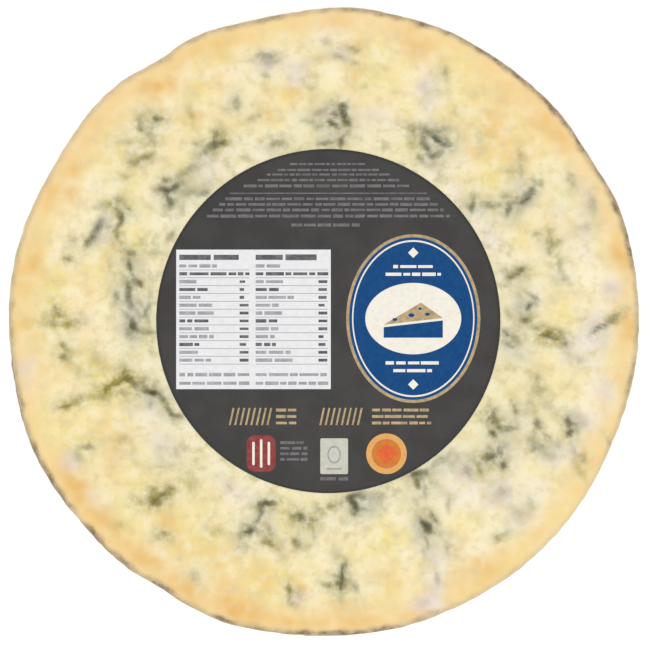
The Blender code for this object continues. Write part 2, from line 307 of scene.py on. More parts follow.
MARKS_FRONT_RIGHT: Rows = (
    (270.7, 85, 2, 1, 80, .58, .7), (272.2, 59.5, 2.2, .8, -78, .68, .9), (272.4, 74.8, 2.7, 1, 3, .28, .8),
    (272.9, 84.1, 1.7, .8, 19, .55, .4), (273.5, 88.7, 2.4, 1, 3, .28, .5),
    (273.6, 84, 2.6, .9, -15, .96, .4), (274.2, 80.5, 2.4, .8, -4, .92, .4),
    (274.9, 78.1, 1.4, .6, 6, .38, .4), (275.8, 64.7, 2.4, 1.1, 70, .2, 0),
    (276.6, 86.4, 2.9, 1.2, 10, .46, .3), (278.6, 62.3, 1.8, .8, 50, .55, .2),
    (279.3, 59.6, 2.6, 1.1, 23, 1, .1), (279.5, 56.9, 2.5, 1.1, -79, .92, .1),
    (282, 61.7, 1.9, .7, 70, .46, .7), (282.3, 57.9, 1.8, .8, 78, .68, .1),
    (287.3, 58.6, 3.3, 1.2, 64, .36, .3), (293.3, 81.8, 2.5, .6, -19, .22, .1),
    (293.8, 90.7, 2.3, .8, -17, .28, .2), (295, 78.4, 2.8, .6, -16, .5, .2),
    (296.8, 75.4, 1.4, .8, 30, .8, .1), (296.9, 73.3, 2.6, 1.2, 18, 1, .1),
    (297.1, 65.6, 1.8, 1, -5, .34, .8), (298.7, 83.6, 2.2, 1, -6, .38, .6),
    (299.4, 73.7, 2.1, .8, -6, .62, .2), (299.4, 71.1, 1.7, .7, 2, .5, .2),
    (300.1, 60.3, 1.8, 1, -8, .88, .4), (301, 63.4, 2.7, .7, -26, .42, .1),
    (301.8, 57.4, 3.2, 1.2, 68, 1, .3), (304.1, 71.9, 2.8, .8, -25, .24, 0),
    (308.7, 89.9, 1.2, .8, 6, .3, .7), (310.3, 89.9, 1.9, .8, 68, .56, .7),
    (311.1, 58.3, 2.3, 1, 63, .42, .1), (311.6, 60.7, 2, 1, 39, .22, .4),
    (314, 67.1, 2.1, 1.2, -13, .42, 0), (315.3, 58.7, 2.1, .8, 74, .26, 0), (315.4, 87.7, 3, 1.3, 3, .2, 0),
    (316.5, 69.9, 1.4, .6, -20, .48, .8), (316.7, 79.9, 2.5, 1.2, 36, .26, .3),
    (318, 68.8, 2.8, 1.2, 13, .35, .9), (318.9, 88.8, 2.4, 1.2, -33, .32, 0),
    (319.6, 68.9, 1.5, .8, -5, .5, .8), (321.3, 69.4, 2.1, 1, 47, .96, .2),
    (321.7, 73.9, 1.7, 1.1, 5, .88, .4), (323.1, 67.7, 1.7, .8, -16, .42, .5),
    (323.7, 70.8, 1.5, .8, -40, .58, 0), (325.3, 70.3, 2.6, 1.1, 61, .3, 0),
    (326.8, 65.3, 1.6, .9, 7, .9, .4), (329.4, 80.2, 2.5, .9, 49, .57, .4),
    (329.4, 84.7, 3.1, 1.2, 6, .26, .3), (329.6, 66.9, 2.3, .8, 30, .76, .4),
    (329.7, 96.1, 2.1, .8, -20, .32, 1), (330.2, 63.1, 2.1, .9, 7, .8, .5),
    (330.3, 69.8, 2.1, 1, 38, .48, .2), (330.3, 78.2, 3, 1.2, -15, .26, 0),
    (331.4, 60.1, 1.4, .9, 47, .5, .6), (332.1, 62.3, 2.1, 1, -54, .72, .4),
    (332.2, 95.1, 2, 1.2, -40, .42, 1), (332.3, 76.9, 1.8, .8, -72, .35, .1),
    (332.5, 85.7, 2, 1.2, -9, .28, .2), (333, 91, 2.9, 1.2, -46, .25, .1),
    (333.1, 80.9, 1.7, .9, -10, .4, .6), (334.8, 76.5, 2, 1, -46, .8, .4),
    (335.7, 67.9, 2, .6, -59, .5, .7), (335.9, 87.4, 1.6, .9, 69, .92, .2),
    (337.2, 100.3, 2, .8, -44, .35, 1), (337.4, 66.4, 2.1, .9, -44, .33, .85),
    (337.7, 88, 1.4, .6, -56, .42, .4), (337.9, 85.7, 2.2, 1.1, -41, .86, .3),
    (338.3, 72.7, 3.2, 1, -51, .26, .75), (340.4, 78, 4.2, 1.3, -51, .2, .8),
    (340.9, 74.6, 4.1, 1.5, -41, .2, .8), (343.5, 72.9, 1.9, .8, -10, .38, .8),
    (345.2, 71.3, 1.4, .7, -49, .45, .8), (349, 101.1, 2.4, .6, -84, .3, 1),
    (352.1, 83.5, 2.6, 1.1, -5, .33, .5), (353.2, 60.4, 1.9, .8, -32, .5, .5),
    (354.8, 70.3, 1.6, .8, -6, .28, .8), (355, 77.5, 2.8, .9, 20, .32, .1),
    (355.8, 61.9, 2.1, 1, -29, .55, .4), (356.1, 77.7, 1.6, 1, -72, .42, .3),
    (356.3, 73.9, 2.6, .9, -13, .95, .75), (357.3, 59, 2, .8, -42, .5, .2),
    (357.6, 74.5, 4.1, 1.2, 6, .45, .9), (358.5, 71.4, 2.6, 1.2, -34, .42, .95),
    (358.6, 88.2, 1.5, .6, 32, .7, .2), (359.5, 90.8, 2.6, .7, 16, .76, .3),
    (359.7, 67.4, 2.3, .8, -40, .35, .9),
)

# Soft stains of the paste: angle and distance from the middle, half width round the wheel and
# half width along the radius in millimetres, and strength
STAINS: dict[Stain, Rows] = {
    Stain.WARM: (
        (14, 99, 12, 3.5, .8), (40, 97, 10, 4, .6), (51, 95, 10, 5, .4), (73, 96, 9, 4, .6),
        (90, 97, 8, 3, .4), (112, 97, 9, 4, .6), (125, 94, 8, 4, .8), (140, 94, 10, 5, .5),
        (153, 96, 9, 5, .9), (168, 97, 9, 4, .8), (182, 96, 8, 4, .5), (214, 97, 8, 4, .9),
        (222, 96, 7, 4, .7), (232, 95, 8, 4, .8), (243, 97, 8, 4, .7), (253, 97, 9, 3.5, .9),
        (265, 98, 8, 3, .8), (276, 97, 7, 4, .8), (287, 99, 8, 2.5, .6), (302, 95, 8, 5, 1),
        (318, 96, 8, 3, .4), (335, 95, 9, 3.5, .5), (350, 98, 4, 2.5, .7), (359, 98, 6, 4, .9),
        (82, 82, 2.2, 6, .5), (83, 91, 2.5, 4, .6), (70, 91, 5, 3, .3), (49, 73, 5, 4, .45),
        (46, 80, 9, 6, .35), (52, 85, 8, 5, .35), (42, 85, 8, 6, .35), (57, 77, 5, 4, .3),
        (106, 71, 2.2, 3, .75), (97, 76, 4, 3, .45), (103, 78, 6, 4, .25), (121, 79, 3, 3, .6),
        (209, 95, 4, 3, .5), (189, 98, 5, 2.5, .4), (114, 86, 6, 6, .35), (127, 79, 6, 5, .3),
        (165, 72, 2.2, 3, .65), (172, 78, 5, 4, .3), (184, 78, 7, 5, .2), (191, 91, 7, 4, .3),
        (208, 79, 6, 5, .45), (214, 83, 6, 5, .35), (231, 82, 4, 3, .55), (236, 86, 6, 5, .35),
        (246, 84, 7, 6, .4), (250, 91, 8, 4, .45), (257, 84, 4, 6, .4), (265, 86, 2.5, 4, .7),
        (272, 93, 6, 4, .5), (283, 86, 8, 6, .35), (296, 91, 5, 4, .5), (300, 85, 5, 4, .35),
        (23, 80, 5, 3, .3), (27, 97, 5, 3, .4),
    ),
    Stain.LEMON: (
        # The first lemon stain, at 320 degrees by the rim, is painted light: it lightens the front right rim
        # where more light falls
        (320, 98, 12, 4, .5), (301, 98.5, 6, 3, .4), (345, 97, 6, 3, .4), (112, 94, 6, 4, 1),
        (118, 86, 5, 5, .7), (125, 78, 4, 5, .85), (129.5, 74, 4, 4, .6), (132, 71, 4, 3, .9),
        (146, 92, 7, 4, .5), (144, 79, 4, 4, .75), (151, 81, 3, 4, .4), (156, 68, 4, 4, 1),
        (162, 73, 4, 4, .75), (166, 77, 4, 5, .9), (173, 88, 9, 7, 1), (182, 93, 8, 6, 1),
        (190, 84, 5, 5, .5), (190.5, 76.5, 6, 4, .95), (197, 67, 4, 7, 1), (199, 73, 5, 5, .9),
        (201, 93, 8, 5, 1), (200, 84, 5, 6, .75), (206, 82, 5, 5, .6), (222, 79, 6, 6, .7),
        (226, 92, 5, 4, .9), (229, 86, 4, 5, .6), (233, 78, 5, 5, .6), (243, 77, 5, 6, .7),
        (240, 86, 6, 5, .5), (248, 86, 6, 5, .6), (256, 87, 6, 5, .8), (262, 83, 7, 4, 1),
        (206, 66, 5, 4, .3), (260, 65, 4, 4, .9), (262, 74, 4, 4, .4), (276, 74, 6, 5, .8),
        (286, 72, 5, 6, .95), (287, 82, 6, 6, .5), (284, 91, 5, 4, .4), (304, 79, 4, 4, .75),
        (306, 97, 6, 3, .7), (338, 65, 4, 4, .5), (338, 73, 4, 4, .3), (349, 71.5, 5, 5, .35),
        (2, 74, 5, 6, .8), (3.6, 79.5, 5, 4, .5), (13, 66, 4, 4, .35), (23, 69, 4, 4, .75),
        (25, 79, 5, 5, .5), (42, 73, 5, 6, .95), (45, 77, 6, 5, .8), (48, 82, 6, 5, .6), (45, 65, 4, 4, .4),
        (56, 88, 7, 6, .4), (63, 96, 6, 3, .5), (64, 65, 2.5, 4, .9), (70, 74, 3, 4, .8),
        (73, 84.5, 4, 6, .7), (80, 93, 4, 4, .9), (99, 75, 5, 4, .8), (105, 72, 4, 4, .85),
        (104, 66, 4, 4, .6), (115, 70, 5, 5, .4), (14, 97, 4, 3, .3),
    ),
    Stain.PALE: (
        (75, 69, 6, 5, .6), (82, 64, 5, 4, .5), (87, 86, 4, 3, .4), (97, 86, 6, 3, .4), (91, 93, 5, 4, .5),
        (96, 81, 5, 3, .6), (67, 85.5, 3, 6, .95), (65, 78, 3, 5, .8), (55, 63, 4, 4, .6),
        (46, 61, 5, 3, .6), (34, 61, 5, 3, .7), (26, 61, 5, 3.5, .7), (20, 74, 3, 3, .4),
        (11, 61, 6, 3.5, .45), (7, 69, 3, 3, .4), (26, 95, 5, 3, .5), (17, 88, 8, 6, .5),
        (25, 86, 6, 5, .35), (7, 94, 5, 4, .7), (0, 89, 5, 4, .9), (356, 84, 4, 5, 1), (353.5, 80, 4, 4, 1),
        (351, 87, 5, 5, .5), (346, 93, 5, 5, .7), (340, 92, 5, 4, .6), (333, 91, 5, 4, .6),
        (329, 86, 5, 4, .6), (320, 88, 6, 4, .7), (314, 90, 5, 3, .6), (316, 80, 5, 5, .7),
        (322, 76, 5, 5, .4), (316, 65, 4, 4, .6), (309, 61, 4, 3, .6), (307, 68, 4, 4, .5),
        (311, 73, 6, 5, .6), (296, 83, 3, 5, .9), (293, 91, 3.5, 5, 1), (290, 97, 5, 3.5, 1),
        (264, 89, 4, 3, .4), (240, 61.5, 6, 3, .5), (247, 62, 4, 3, .5), (218, 65, 6, 5, .5),
        (206, 65, 6, 5, .6), (218, 93, 4, 3, .25), (208.5, 94, 3, 3, .4), (189, 97.5, 6, 3, .6),
        (168, 61, 5, 3, .3), (158, 78, 4, 2.5, .4), (154.5, 77.8, 2.2, 2, 1), (146, 61, 6, 3, .3),
        (140, 67, 4, 3, .4), (123, 66, 5, 3, .5), (127, 61, 6, 3, .6), (108, 61, 5, 3, .5),
        (149, 84, 4, 6, .3), (103, 87, 4, 3, .3), (251.6, 63.8, 1.6, 1.4, .5), (57.4, 68.2, 1.4, 1.4, .8),
    ),
    Stain.COOL: (
        (87, 68, 6, 4, .7), (83, 66, 4, 4, .4), (90, 61, 4, 3, .6), (103, 87, 3, 2.4, .4),
        (60, 70, 6, 5, .85), (57, 66, 5, 4, .7), (65, 84, 2.4, 4, .35), (33, 76, 5, 5, .9),
        (31, 70, 5, 4, .6), (36, 64, 4, 4, .5), (11, 77, 3, 4, .4), (20, 88, 3, 5, .35),
        (28, 89, 4, 4, .35), (23, 95, 3.5, 4, .45), (4, 66, 6, 4, .8), (353, 61, 6, 3.5, .8),
        (350, 66, 4, 4, .4), (14, 65, 4, 3.5, .5), (338, 87, 4, 3.5, .8), (335, 71, 5, 4, .55),
        (331, 81, 4, 4, .5), (326, 70, 6, 5, .6), (329, 65, 5, 4, .5), (321, 70, 6, 4, .6),
        (316, 64, 4, 3.5, .8), (309, 60, 4, 3, .6), (302, 62, 5, 4, .85), (304, 67, 5, 4, .4),
        (296, 75, 4, 5, .9), (295, 80, 2.4, 4, .6), (298, 84, 3, 3, .5), (318, 77, 5, 3, .4),
        (316, 87, 4, 3, .5), (282, 60, 6, 3.5, .95), (287, 59, 4, 3, .6), (274, 84, 3.4, 5, .5),
        (252, 64, 4, 4, .6), (251, 69, 5, 4, .7), (263, 65, 4, 4, .5), (263, 72, 4, 3, .4),
        (256, 73, 4, 3, .4), (243, 91, 4, 3, .3), (226, 78, 4, 4, .4), (219, 68, 4, 4, .4),
        (203, 62, 5, 4, .85), (208, 58, 5, 3, .7), (186, 85, 3, 4, .3), (181, 62, 6, 4, .8),
        (175, 63, 5, 4, .7), (169, 64, 6, 4, .7), (162, 66, 4, 4, .6), (158, 79, 5, 3, .7),
        (151, 75, 3, 4, .5), (138, 65, 6, 5, .85), (132, 59, 6, 3, .6), (125, 67, 5, 4, .45),
        (131, 86, 4, 3.5, .5), (138, 81, 5, 4, .3), (112, 77, 3, 3.5, .45), (104, 60, 5, 3.4, .6),
        (94, 66, 4, 2.6, .5), (357, 91, 5, 2, .4), (344, 72, 4, 2.6, .35), (19, 76, 4, 2.4, .4),
        (217, 64, 4, 4, .3),
    ),
    Stain.VIOLET: (
        (103, 87, 3, 2.2, .9), (87, 87, 4, 2.4, .7), (95, 85, 6, 2.4, .45), (97, 81, 4, 2, .4),
        (67, 84, 2.6, 5, .5), (31, 62, 4, 3, .4), (208.5, 94, 3, 2.4, .5), (189, 98, 4, 2, .3),
        (337, 89, 4, 3, .5), (329, 86, 4, 3, .6), (316, 89, 4, 3, .6), (315, 80, 4, 3, .5),
        (296, 82, 2, 5, .5), (292, 92, 3, 4, .4), (289, 97, 3, 2.4, .7), (358, 87, 5, 2, .4),
        (7, 94, 3, 3, .5), (352.5, 79, 3, 2.4, .4), (346, 92, 3, 3, .4), (181, 63, 3, 2.4, .5),
        (218, 65, 4, 3, .15), (241, 61, 4, 2.4, .3), (264, 89, 4, 2.4, .5), (90, 68, 4, 2.4, .5),
        (77, 68, 4, 3, .3), (140, 67, 3, 2.4, .4), (123, 66, 3, 2.4, .4), (158, 79, 3, 2, .5),
        (217, 93, 3, 3, .3), (313, 67, 3, 3, .5), (27, 96, 3, 2.4, .3),
    ),
}

# Where the rind shows as a line round the cut face, with painted shade and light in it: angle and half width
# in degrees, and strength
# The line is real, but the strong entry near 40 degrees also paints shade on the back right rim, and the
# negative one near 322 degrees lightens the front right rim as painted light
RIND_LINE_AND_SHADE: Rows = (
    (8, 6, -.1), (19, 6, .2), (40, 24, .9), (74, 7, .35), (83, 4, .3), (105, 12, .2), (145, 24, -.15),
    (176, 6, .2), (203, 12, .5), (219, 9, .4), (237, 10, .5), (253, 6, .45), (273, 16, .75), (294, 4, -.25),
    (322, 20, -.3), (354, 8, .3),
)
RIND_LINE_BASE = 0.3


@dataclass(frozen=True)
class WheelForm:
    """The form of the wheel, the same as its solid's, and places on it."""

    radius: float = 102.5 * MM
    height: float = 60.0 * MM
    base_round: float = 8.0 * MM
    edge_width: float = 1.6 * MM
    edge_drop: float = 2.2 * MM
    bulge: float = 0.8 * MM
    worn_angle: float = 190.0
    worn_half: float = 26.0
    worn_growth: float = 1.1
    outline_inner: float = 62.0 * MM
    label_x: float = 1.4 * MM
    label_y: float = 0.3 * MM
    label_radius: float = 55.9 * MM
    label_clear: float = 4.0 * MM
    rind_smooth_top: float = 6.0 * MM
    ripple_turns: float = 5.0
    ripple: Relief = Relief(1.0, 0.3 * MM, 0.4)
    broad: Relief = Relief(60.0 * MM, 0.35 * MM, 3.7)
    crumb: Relief = Relief(13.0 * MM, 0.35 * MM, 8.1)
    rind: Relief = Relief(17.0 * MM, 0.9 * MM)
    # Swells and flats of the outline: angle and half width in degrees, and rise in millimetres
    swells: Rows = (
        (19, 7, 0.6), (32, 7, -0.7), (67, 7, 0.5), (84, 5, 0.5), (101, 11, -1.6), (122, 6, -1.7),
        (150, 10, -0.9), (174, 8, 0.4), (204, 10, 1.2), (238, 4, -0.9), (252, 5, 0.6),
        (270, 14, -0.3), (337, 12, -0.7),
    )

    def swell(self, angle: Values) -> Values:
        """Give how far the outline stands out of the true circle.

        Args:
            angle: Directions in radians.

        Returns:
            The rise in metres at each direction.
        """
        turned = np.stack([np.cos(angle), np.sin(angle), np.full_like(angle, self.ripple.level)], axis=1)
        rise = Relief(1.0 / self.ripple_turns, self.ripple.rise).through(turned)
        for centre, half, height in self.swells:
            rise = rise + height * MM * bump_at(angle, centre, half)
        return rise

    def worn(self, angle: Values) -> Values:
        """Give how much wider the rounded edge of the cut face is at each direction."""
        return 1.0 + self.worn_growth * bump_at(angle, self.worn_angle, self.worn_half)

    def bare(self, x: Values, y: Values) -> Values:
        """Give 0 under the label and 1 on the bare cut face, at each place."""
        out = np.hypot(x - self.label_x, y - self.label_y)
        return ease(out, self.label_radius, self.label_radius + self.label_clear)

    def crust(self, places: Points) -> Values:
        """Give how far the rind of the side stands in or out.

        Args:
            places: Places on the plainly turned wheel.

        Returns:
            The distance at each place, positive outwards.
        """
        z = places[:, 2]
        calm = 1.0 - ease(z, self.height - self.rind_smooth_top, self.height - self.edge_drop)
        round_out = self.bulge * np.sin(pi * np.clip(z / self.height, 0.0, 1.0))
        return round_out + calm * (self.rind.through(places) - 0.5 * self.rind.rise)


@dataclass(frozen=True)
class Wander:
    """A shift of places to and fro, which gives what is drawn there ragged edges.

    Each relief moves places along X, and also along Y, where it is read side_step higher up. All
    places then move by shift_x and shift_y.
    """

    reliefs: tuple[Relief, ...]
    side_step: float = 40.0
    shift_x: float = -0.15 * MM
    shift_y: float = 0.45 * MM

    def of(self, x: Values, y: Values) -> tuple[Values, Values]:
        """Shift places.

        Args:
            x: Places along X.
            y: Places along Y.

        Returns:
            The shifted places along X and along Y.
        """
        new_x, new_y = x + self.shift_x, y + self.shift_y
        for relief in self.reliefs:
            other = Relief(relief.wave, relief.rise, relief.level + self.side_step)
            new_x = new_x + relief.over(x, y)
            new_y = new_y + other.over(x, y)
        return new_x, new_y


@dataclass(frozen=True)
class Mould:
    """The mould of the cut face: its hearts, the soft edge round them, and how olive it is."""

    heart: Values
    edge: Values
    olive: Values


@dataclass(frozen=True)
class MouldField:
    """The mould marks of the cut face as one field.

    The heart of a mark is heart_size times as large as the mark was read, and the soft edge
    round it edge_size times as large and edge_extra millimetres more.
    """

    full: float = 0.89
    olive_loss: float = 0.3
    heart_size: float = 1.05
    heart_steepness: float = 1.5
    edge_size: float = 1.9
    edge_extra: float = 0.5
    edge_share: float = 0.34
    edge_olive: float = 0.42
    least_weight: float = 1e-4

    def marks(self) -> Iterator[tuple[float, ...]]:
        """Give every mark in turn."""
        for group in (MARKS_BACK_RIGHT, MARKS_BACK_LEFT, MARKS_FRONT_LEFT, MARKS_FRONT_RIGHT):
            yield from group

    def at(self, x: Values, y: Values) -> Mould:
        """Give the mould at places on the cut face.

        Args:
            x: Places along X.
            y: Places along Y.

        Returns:
            The mould there, each of its numbers from 0 to 1.
        """
        clear, open_edge = np.ones_like(x), np.ones_like(x)
        olive, weight = np.zeros_like(x), np.full_like(x, self.least_weight)
        for angle, distance, half_length, half_width, turn, strength, tint in self.marks():
            along, across = seen_from(x, y, angle, distance, turn)
            long, wide = half_length * self.heart_size, half_width * self.heart_size
            fall = ((along / long) ** 2 + (across / wide) ** 2) ** self.heart_steepness
            share = self.full * strength * (1.0 - self.olive_loss * tint) * np.exp(-fall)
            long = half_length * self.edge_size + self.edge_extra
            wide = half_width * self.edge_size + self.edge_extra
            soft = (self.edge_share + self.edge_olive * tint) * strength
            soft = soft * np.exp(-((along / long) ** 2) - (across / wide) ** 2)
            clear = clear * (1.0 - share)
            open_edge = open_edge * (1.0 - soft)
            olive = olive + soft * tint
            weight = weight + soft
        return Mould(1.0 - clear, 1.0 - open_edge, olive / weight)


def stain_at(stain: Stain, x: Values, y: Values) -> Values:
    """Give how strongly a stain tints the paste.

    Args:
        stain: Which stain.
        x: Places along X.
        y: Places along Y.

    Returns:
        The strength at each place, from 0 to 1.
    """
    clear = np.ones_like(x)
    for angle, distance, half_round, half_out, strength in STAINS[stain]:
        out, beside = seen_from(x, y, angle, distance)
        clear = clear * (1.0 - strength * np.exp(-((out / half_out) ** 2) - (beside / half_round) ** 2))
    return 1.0 - clear


class Signal:
    """A number that changes over a surface: a shader socket with arithmetic."""

    def __init__(self, desk: "Desk", socket: bpy.types.NodeSocket) -> None:
        """Wrap a socket of a desk's material."""
        self.desk = desk
        self.socket = socket

    def _join(self, operation: str, first: "Number", second: "Number") -> "Signal":
        """Join two numbers by a Math node.

        Args:
            operation: The node's operation.
            first: The first number.
            second: The second number.

        Returns:
            The result.
        """
        node = self.desk.node("ShaderNodeMath", {"operation": operation}, {0: first, 1: second})
        return Signal(self.desk, node.outputs[0])

    def __add__(self, other: "Number") -> "Signal":
        """Add a number."""
        return self._join("ADD", self, other)

    def __radd__(self, other: "Number") -> "Signal":
        """Add to a number."""
        return self._join("ADD", other, self)

    def __sub__(self, other: "Number") -> "Signal":
        """Take a number away."""
        return self._join("SUBTRACT", self, other)

    def __rsub__(self, other: "Number") -> "Signal":
        """Take this away from a number."""
        return self._join("SUBTRACT", other, self)

    def __mul__(self, other: "Number") -> "Signal":
        """Multiply by a number."""
        return self._join("MULTIPLY", self, other)

    def __rmul__(self, other: "Number") -> "Signal":
        """Multiply a number by this."""
        return self._join("MULTIPLY", other, self)

    def swing(self, amount: float) -> "Signal":
        """Give how far a noise lies from its middle, times an amount."""
        return (self - 0.5) * amount

    def rise(self, low: float, high: float) -> "Signal":
        """Rise smoothly from 0 to 1 between two levels.

        Args:
            low: The level that gives 0.
            high: The level that gives 1. It may be the lower of the two.

        Returns:
            The eased signal.
        """
        node = self.desk.node(
            "ShaderNodeMapRange",
            {"interpolation_type": "SMOOTHSTEP"},
            {"Value": self, "From Min": low, "From Max": high},
        )
        return Signal(self.desk, node.outputs[0])


Number = Union[Signal, float]


@dataclass(frozen=True)
class Grain:
    """A soft noise of a material, which is read in space.

    It has the length of its waves in metres, how many finer layers it has, how strong they are, and
    how far along Z it is read, so that two noises differ.
    """

    wave: float
    detail: float = 2.0
    roughness: float = 0.5
    lift: float = 0.0


@dataclass(frozen=True)
class Fade:
    """How a signal lets a layer in: nothing at the low level, and its share at the high one."""

    low: float
    high: float
    share: float = 1.0

    def of(self, signal: Signal) -> Signal:
        """Give how much of the layer shows."""
        return signal.rise(self.low, self.high) * self.share


class Desk:
    """A material under construction: its nodes, its shader and its places."""

    def __init__(self, name: str) -> None:
        """Start a material with a shader and nothing behind it."""
        self.material = bpy.data.materials.new(name)
        self.material.use_nodes = True
        self.tree = self.material.node_tree
        self.shader = self.tree.nodes["Principled BSDF"]
        self.places = self.node("ShaderNodeTexCoord", {}, {}).outputs["Object"]

    def node(self, kind: str, settings: dict, sockets: dict) -> bpy.types.Node:
        """Add a node.

        Args:
            kind: The node's type.
            settings: Its properties, which are set first.
            sockets: Its inputs by name or number, each a value or a link.

        Returns:
            The new node.
        """
        node = self.tree.nodes.new(kind)
        for key, value in settings.items():
            setattr(node, key, value)
        for key, value in sockets.items():
            self.feed(node.inputs[key], value)
        return node

    def feed(self, socket: bpy.types.NodeSocket, value: object) -> None:
        """Give a socket its value or its link."""
        if isinstance(value, Signal):
            self.tree.links.new(value.socket, socket)
        elif isinstance(value, bpy.types.NodeSocket):
            self.tree.links.new(value, socket)
        elif isinstance(value, Hue):
            socket.default_value = value.albedo()
        else:
            socket.default_value = value

    def grain(self, grain: Grain) -> Signal:
        """Read a soft noise in space.

        Args:
            grain: The noise.

        Returns:
            The noise, from about 0.2 to 0.8.
        """
        lift = (0.0, 0.0, grain.lift)
        moved = self.node("ShaderNodeVectorMath", {"operation": "ADD"}, {0: self.places, 1: lift})
        sockets = {
            "Vector": moved.outputs[0], "Scale": 1.0 / grain.wave, "Detail": grain.detail,
            "Roughness": grain.roughness,
        }
        node = self.node("ShaderNodeTexNoise", {"noise_dimensions": "3D"}, sockets)
        return Signal(self, node.outputs[0])

    def grains(self, *grains: Grain) -> list[Signal]:
        """Read some noises."""
        return [self.grain(grain) for grain in grains]

    def attribute(self, name: str) -> Signal:
        """Read an attribute of the piece."""
        node = self.node("ShaderNodeAttribute", {"attribute_name": name}, {})
        return Signal(self, node.outputs["Fac"])

    def blend(self, share: Number, first: object, second: object) -> bpy.types.NodeSocket:
        """Mix two colours.

        Args:
            share: How much of the second colour there is.
            first: The first colour.
            second: The second colour.

        Returns:
            The socket of the mixed colour.
        """
        node = self.node(
            "ShaderNodeMix", {"data_type": "RGBA", "clamp_factor": True}, {0: share, 6: first, 7: second}
        )
        return node.outputs[2]

    def bump(self, height: Signal, distance: float, strength: float) -> None:
        """Let a height in units of a distance roughen the surface.

        Args:
            height: The height.
            distance: How far a height of 1 rises, in metres.
            strength: How much of it shows.
        """
        sockets = {"Height": height, "Distance": distance, "Strength": strength}
        node = self.node("ShaderNodeBump", {}, sockets)
        self.feed(self.shader.inputs["Normal"], node.outputs[0])

    def dress(self, **sockets: object) -> bpy.types.Material:
        """Feed the shader's sockets.

        Args:
            **sockets: Values or links by the socket's name, with _ for each space.

        Returns:
            The finished material.
        """
        for name, value in sockets.items():
            self.feed(self.shader.inputs[name.replace("_", " ")], value)
        return self.material


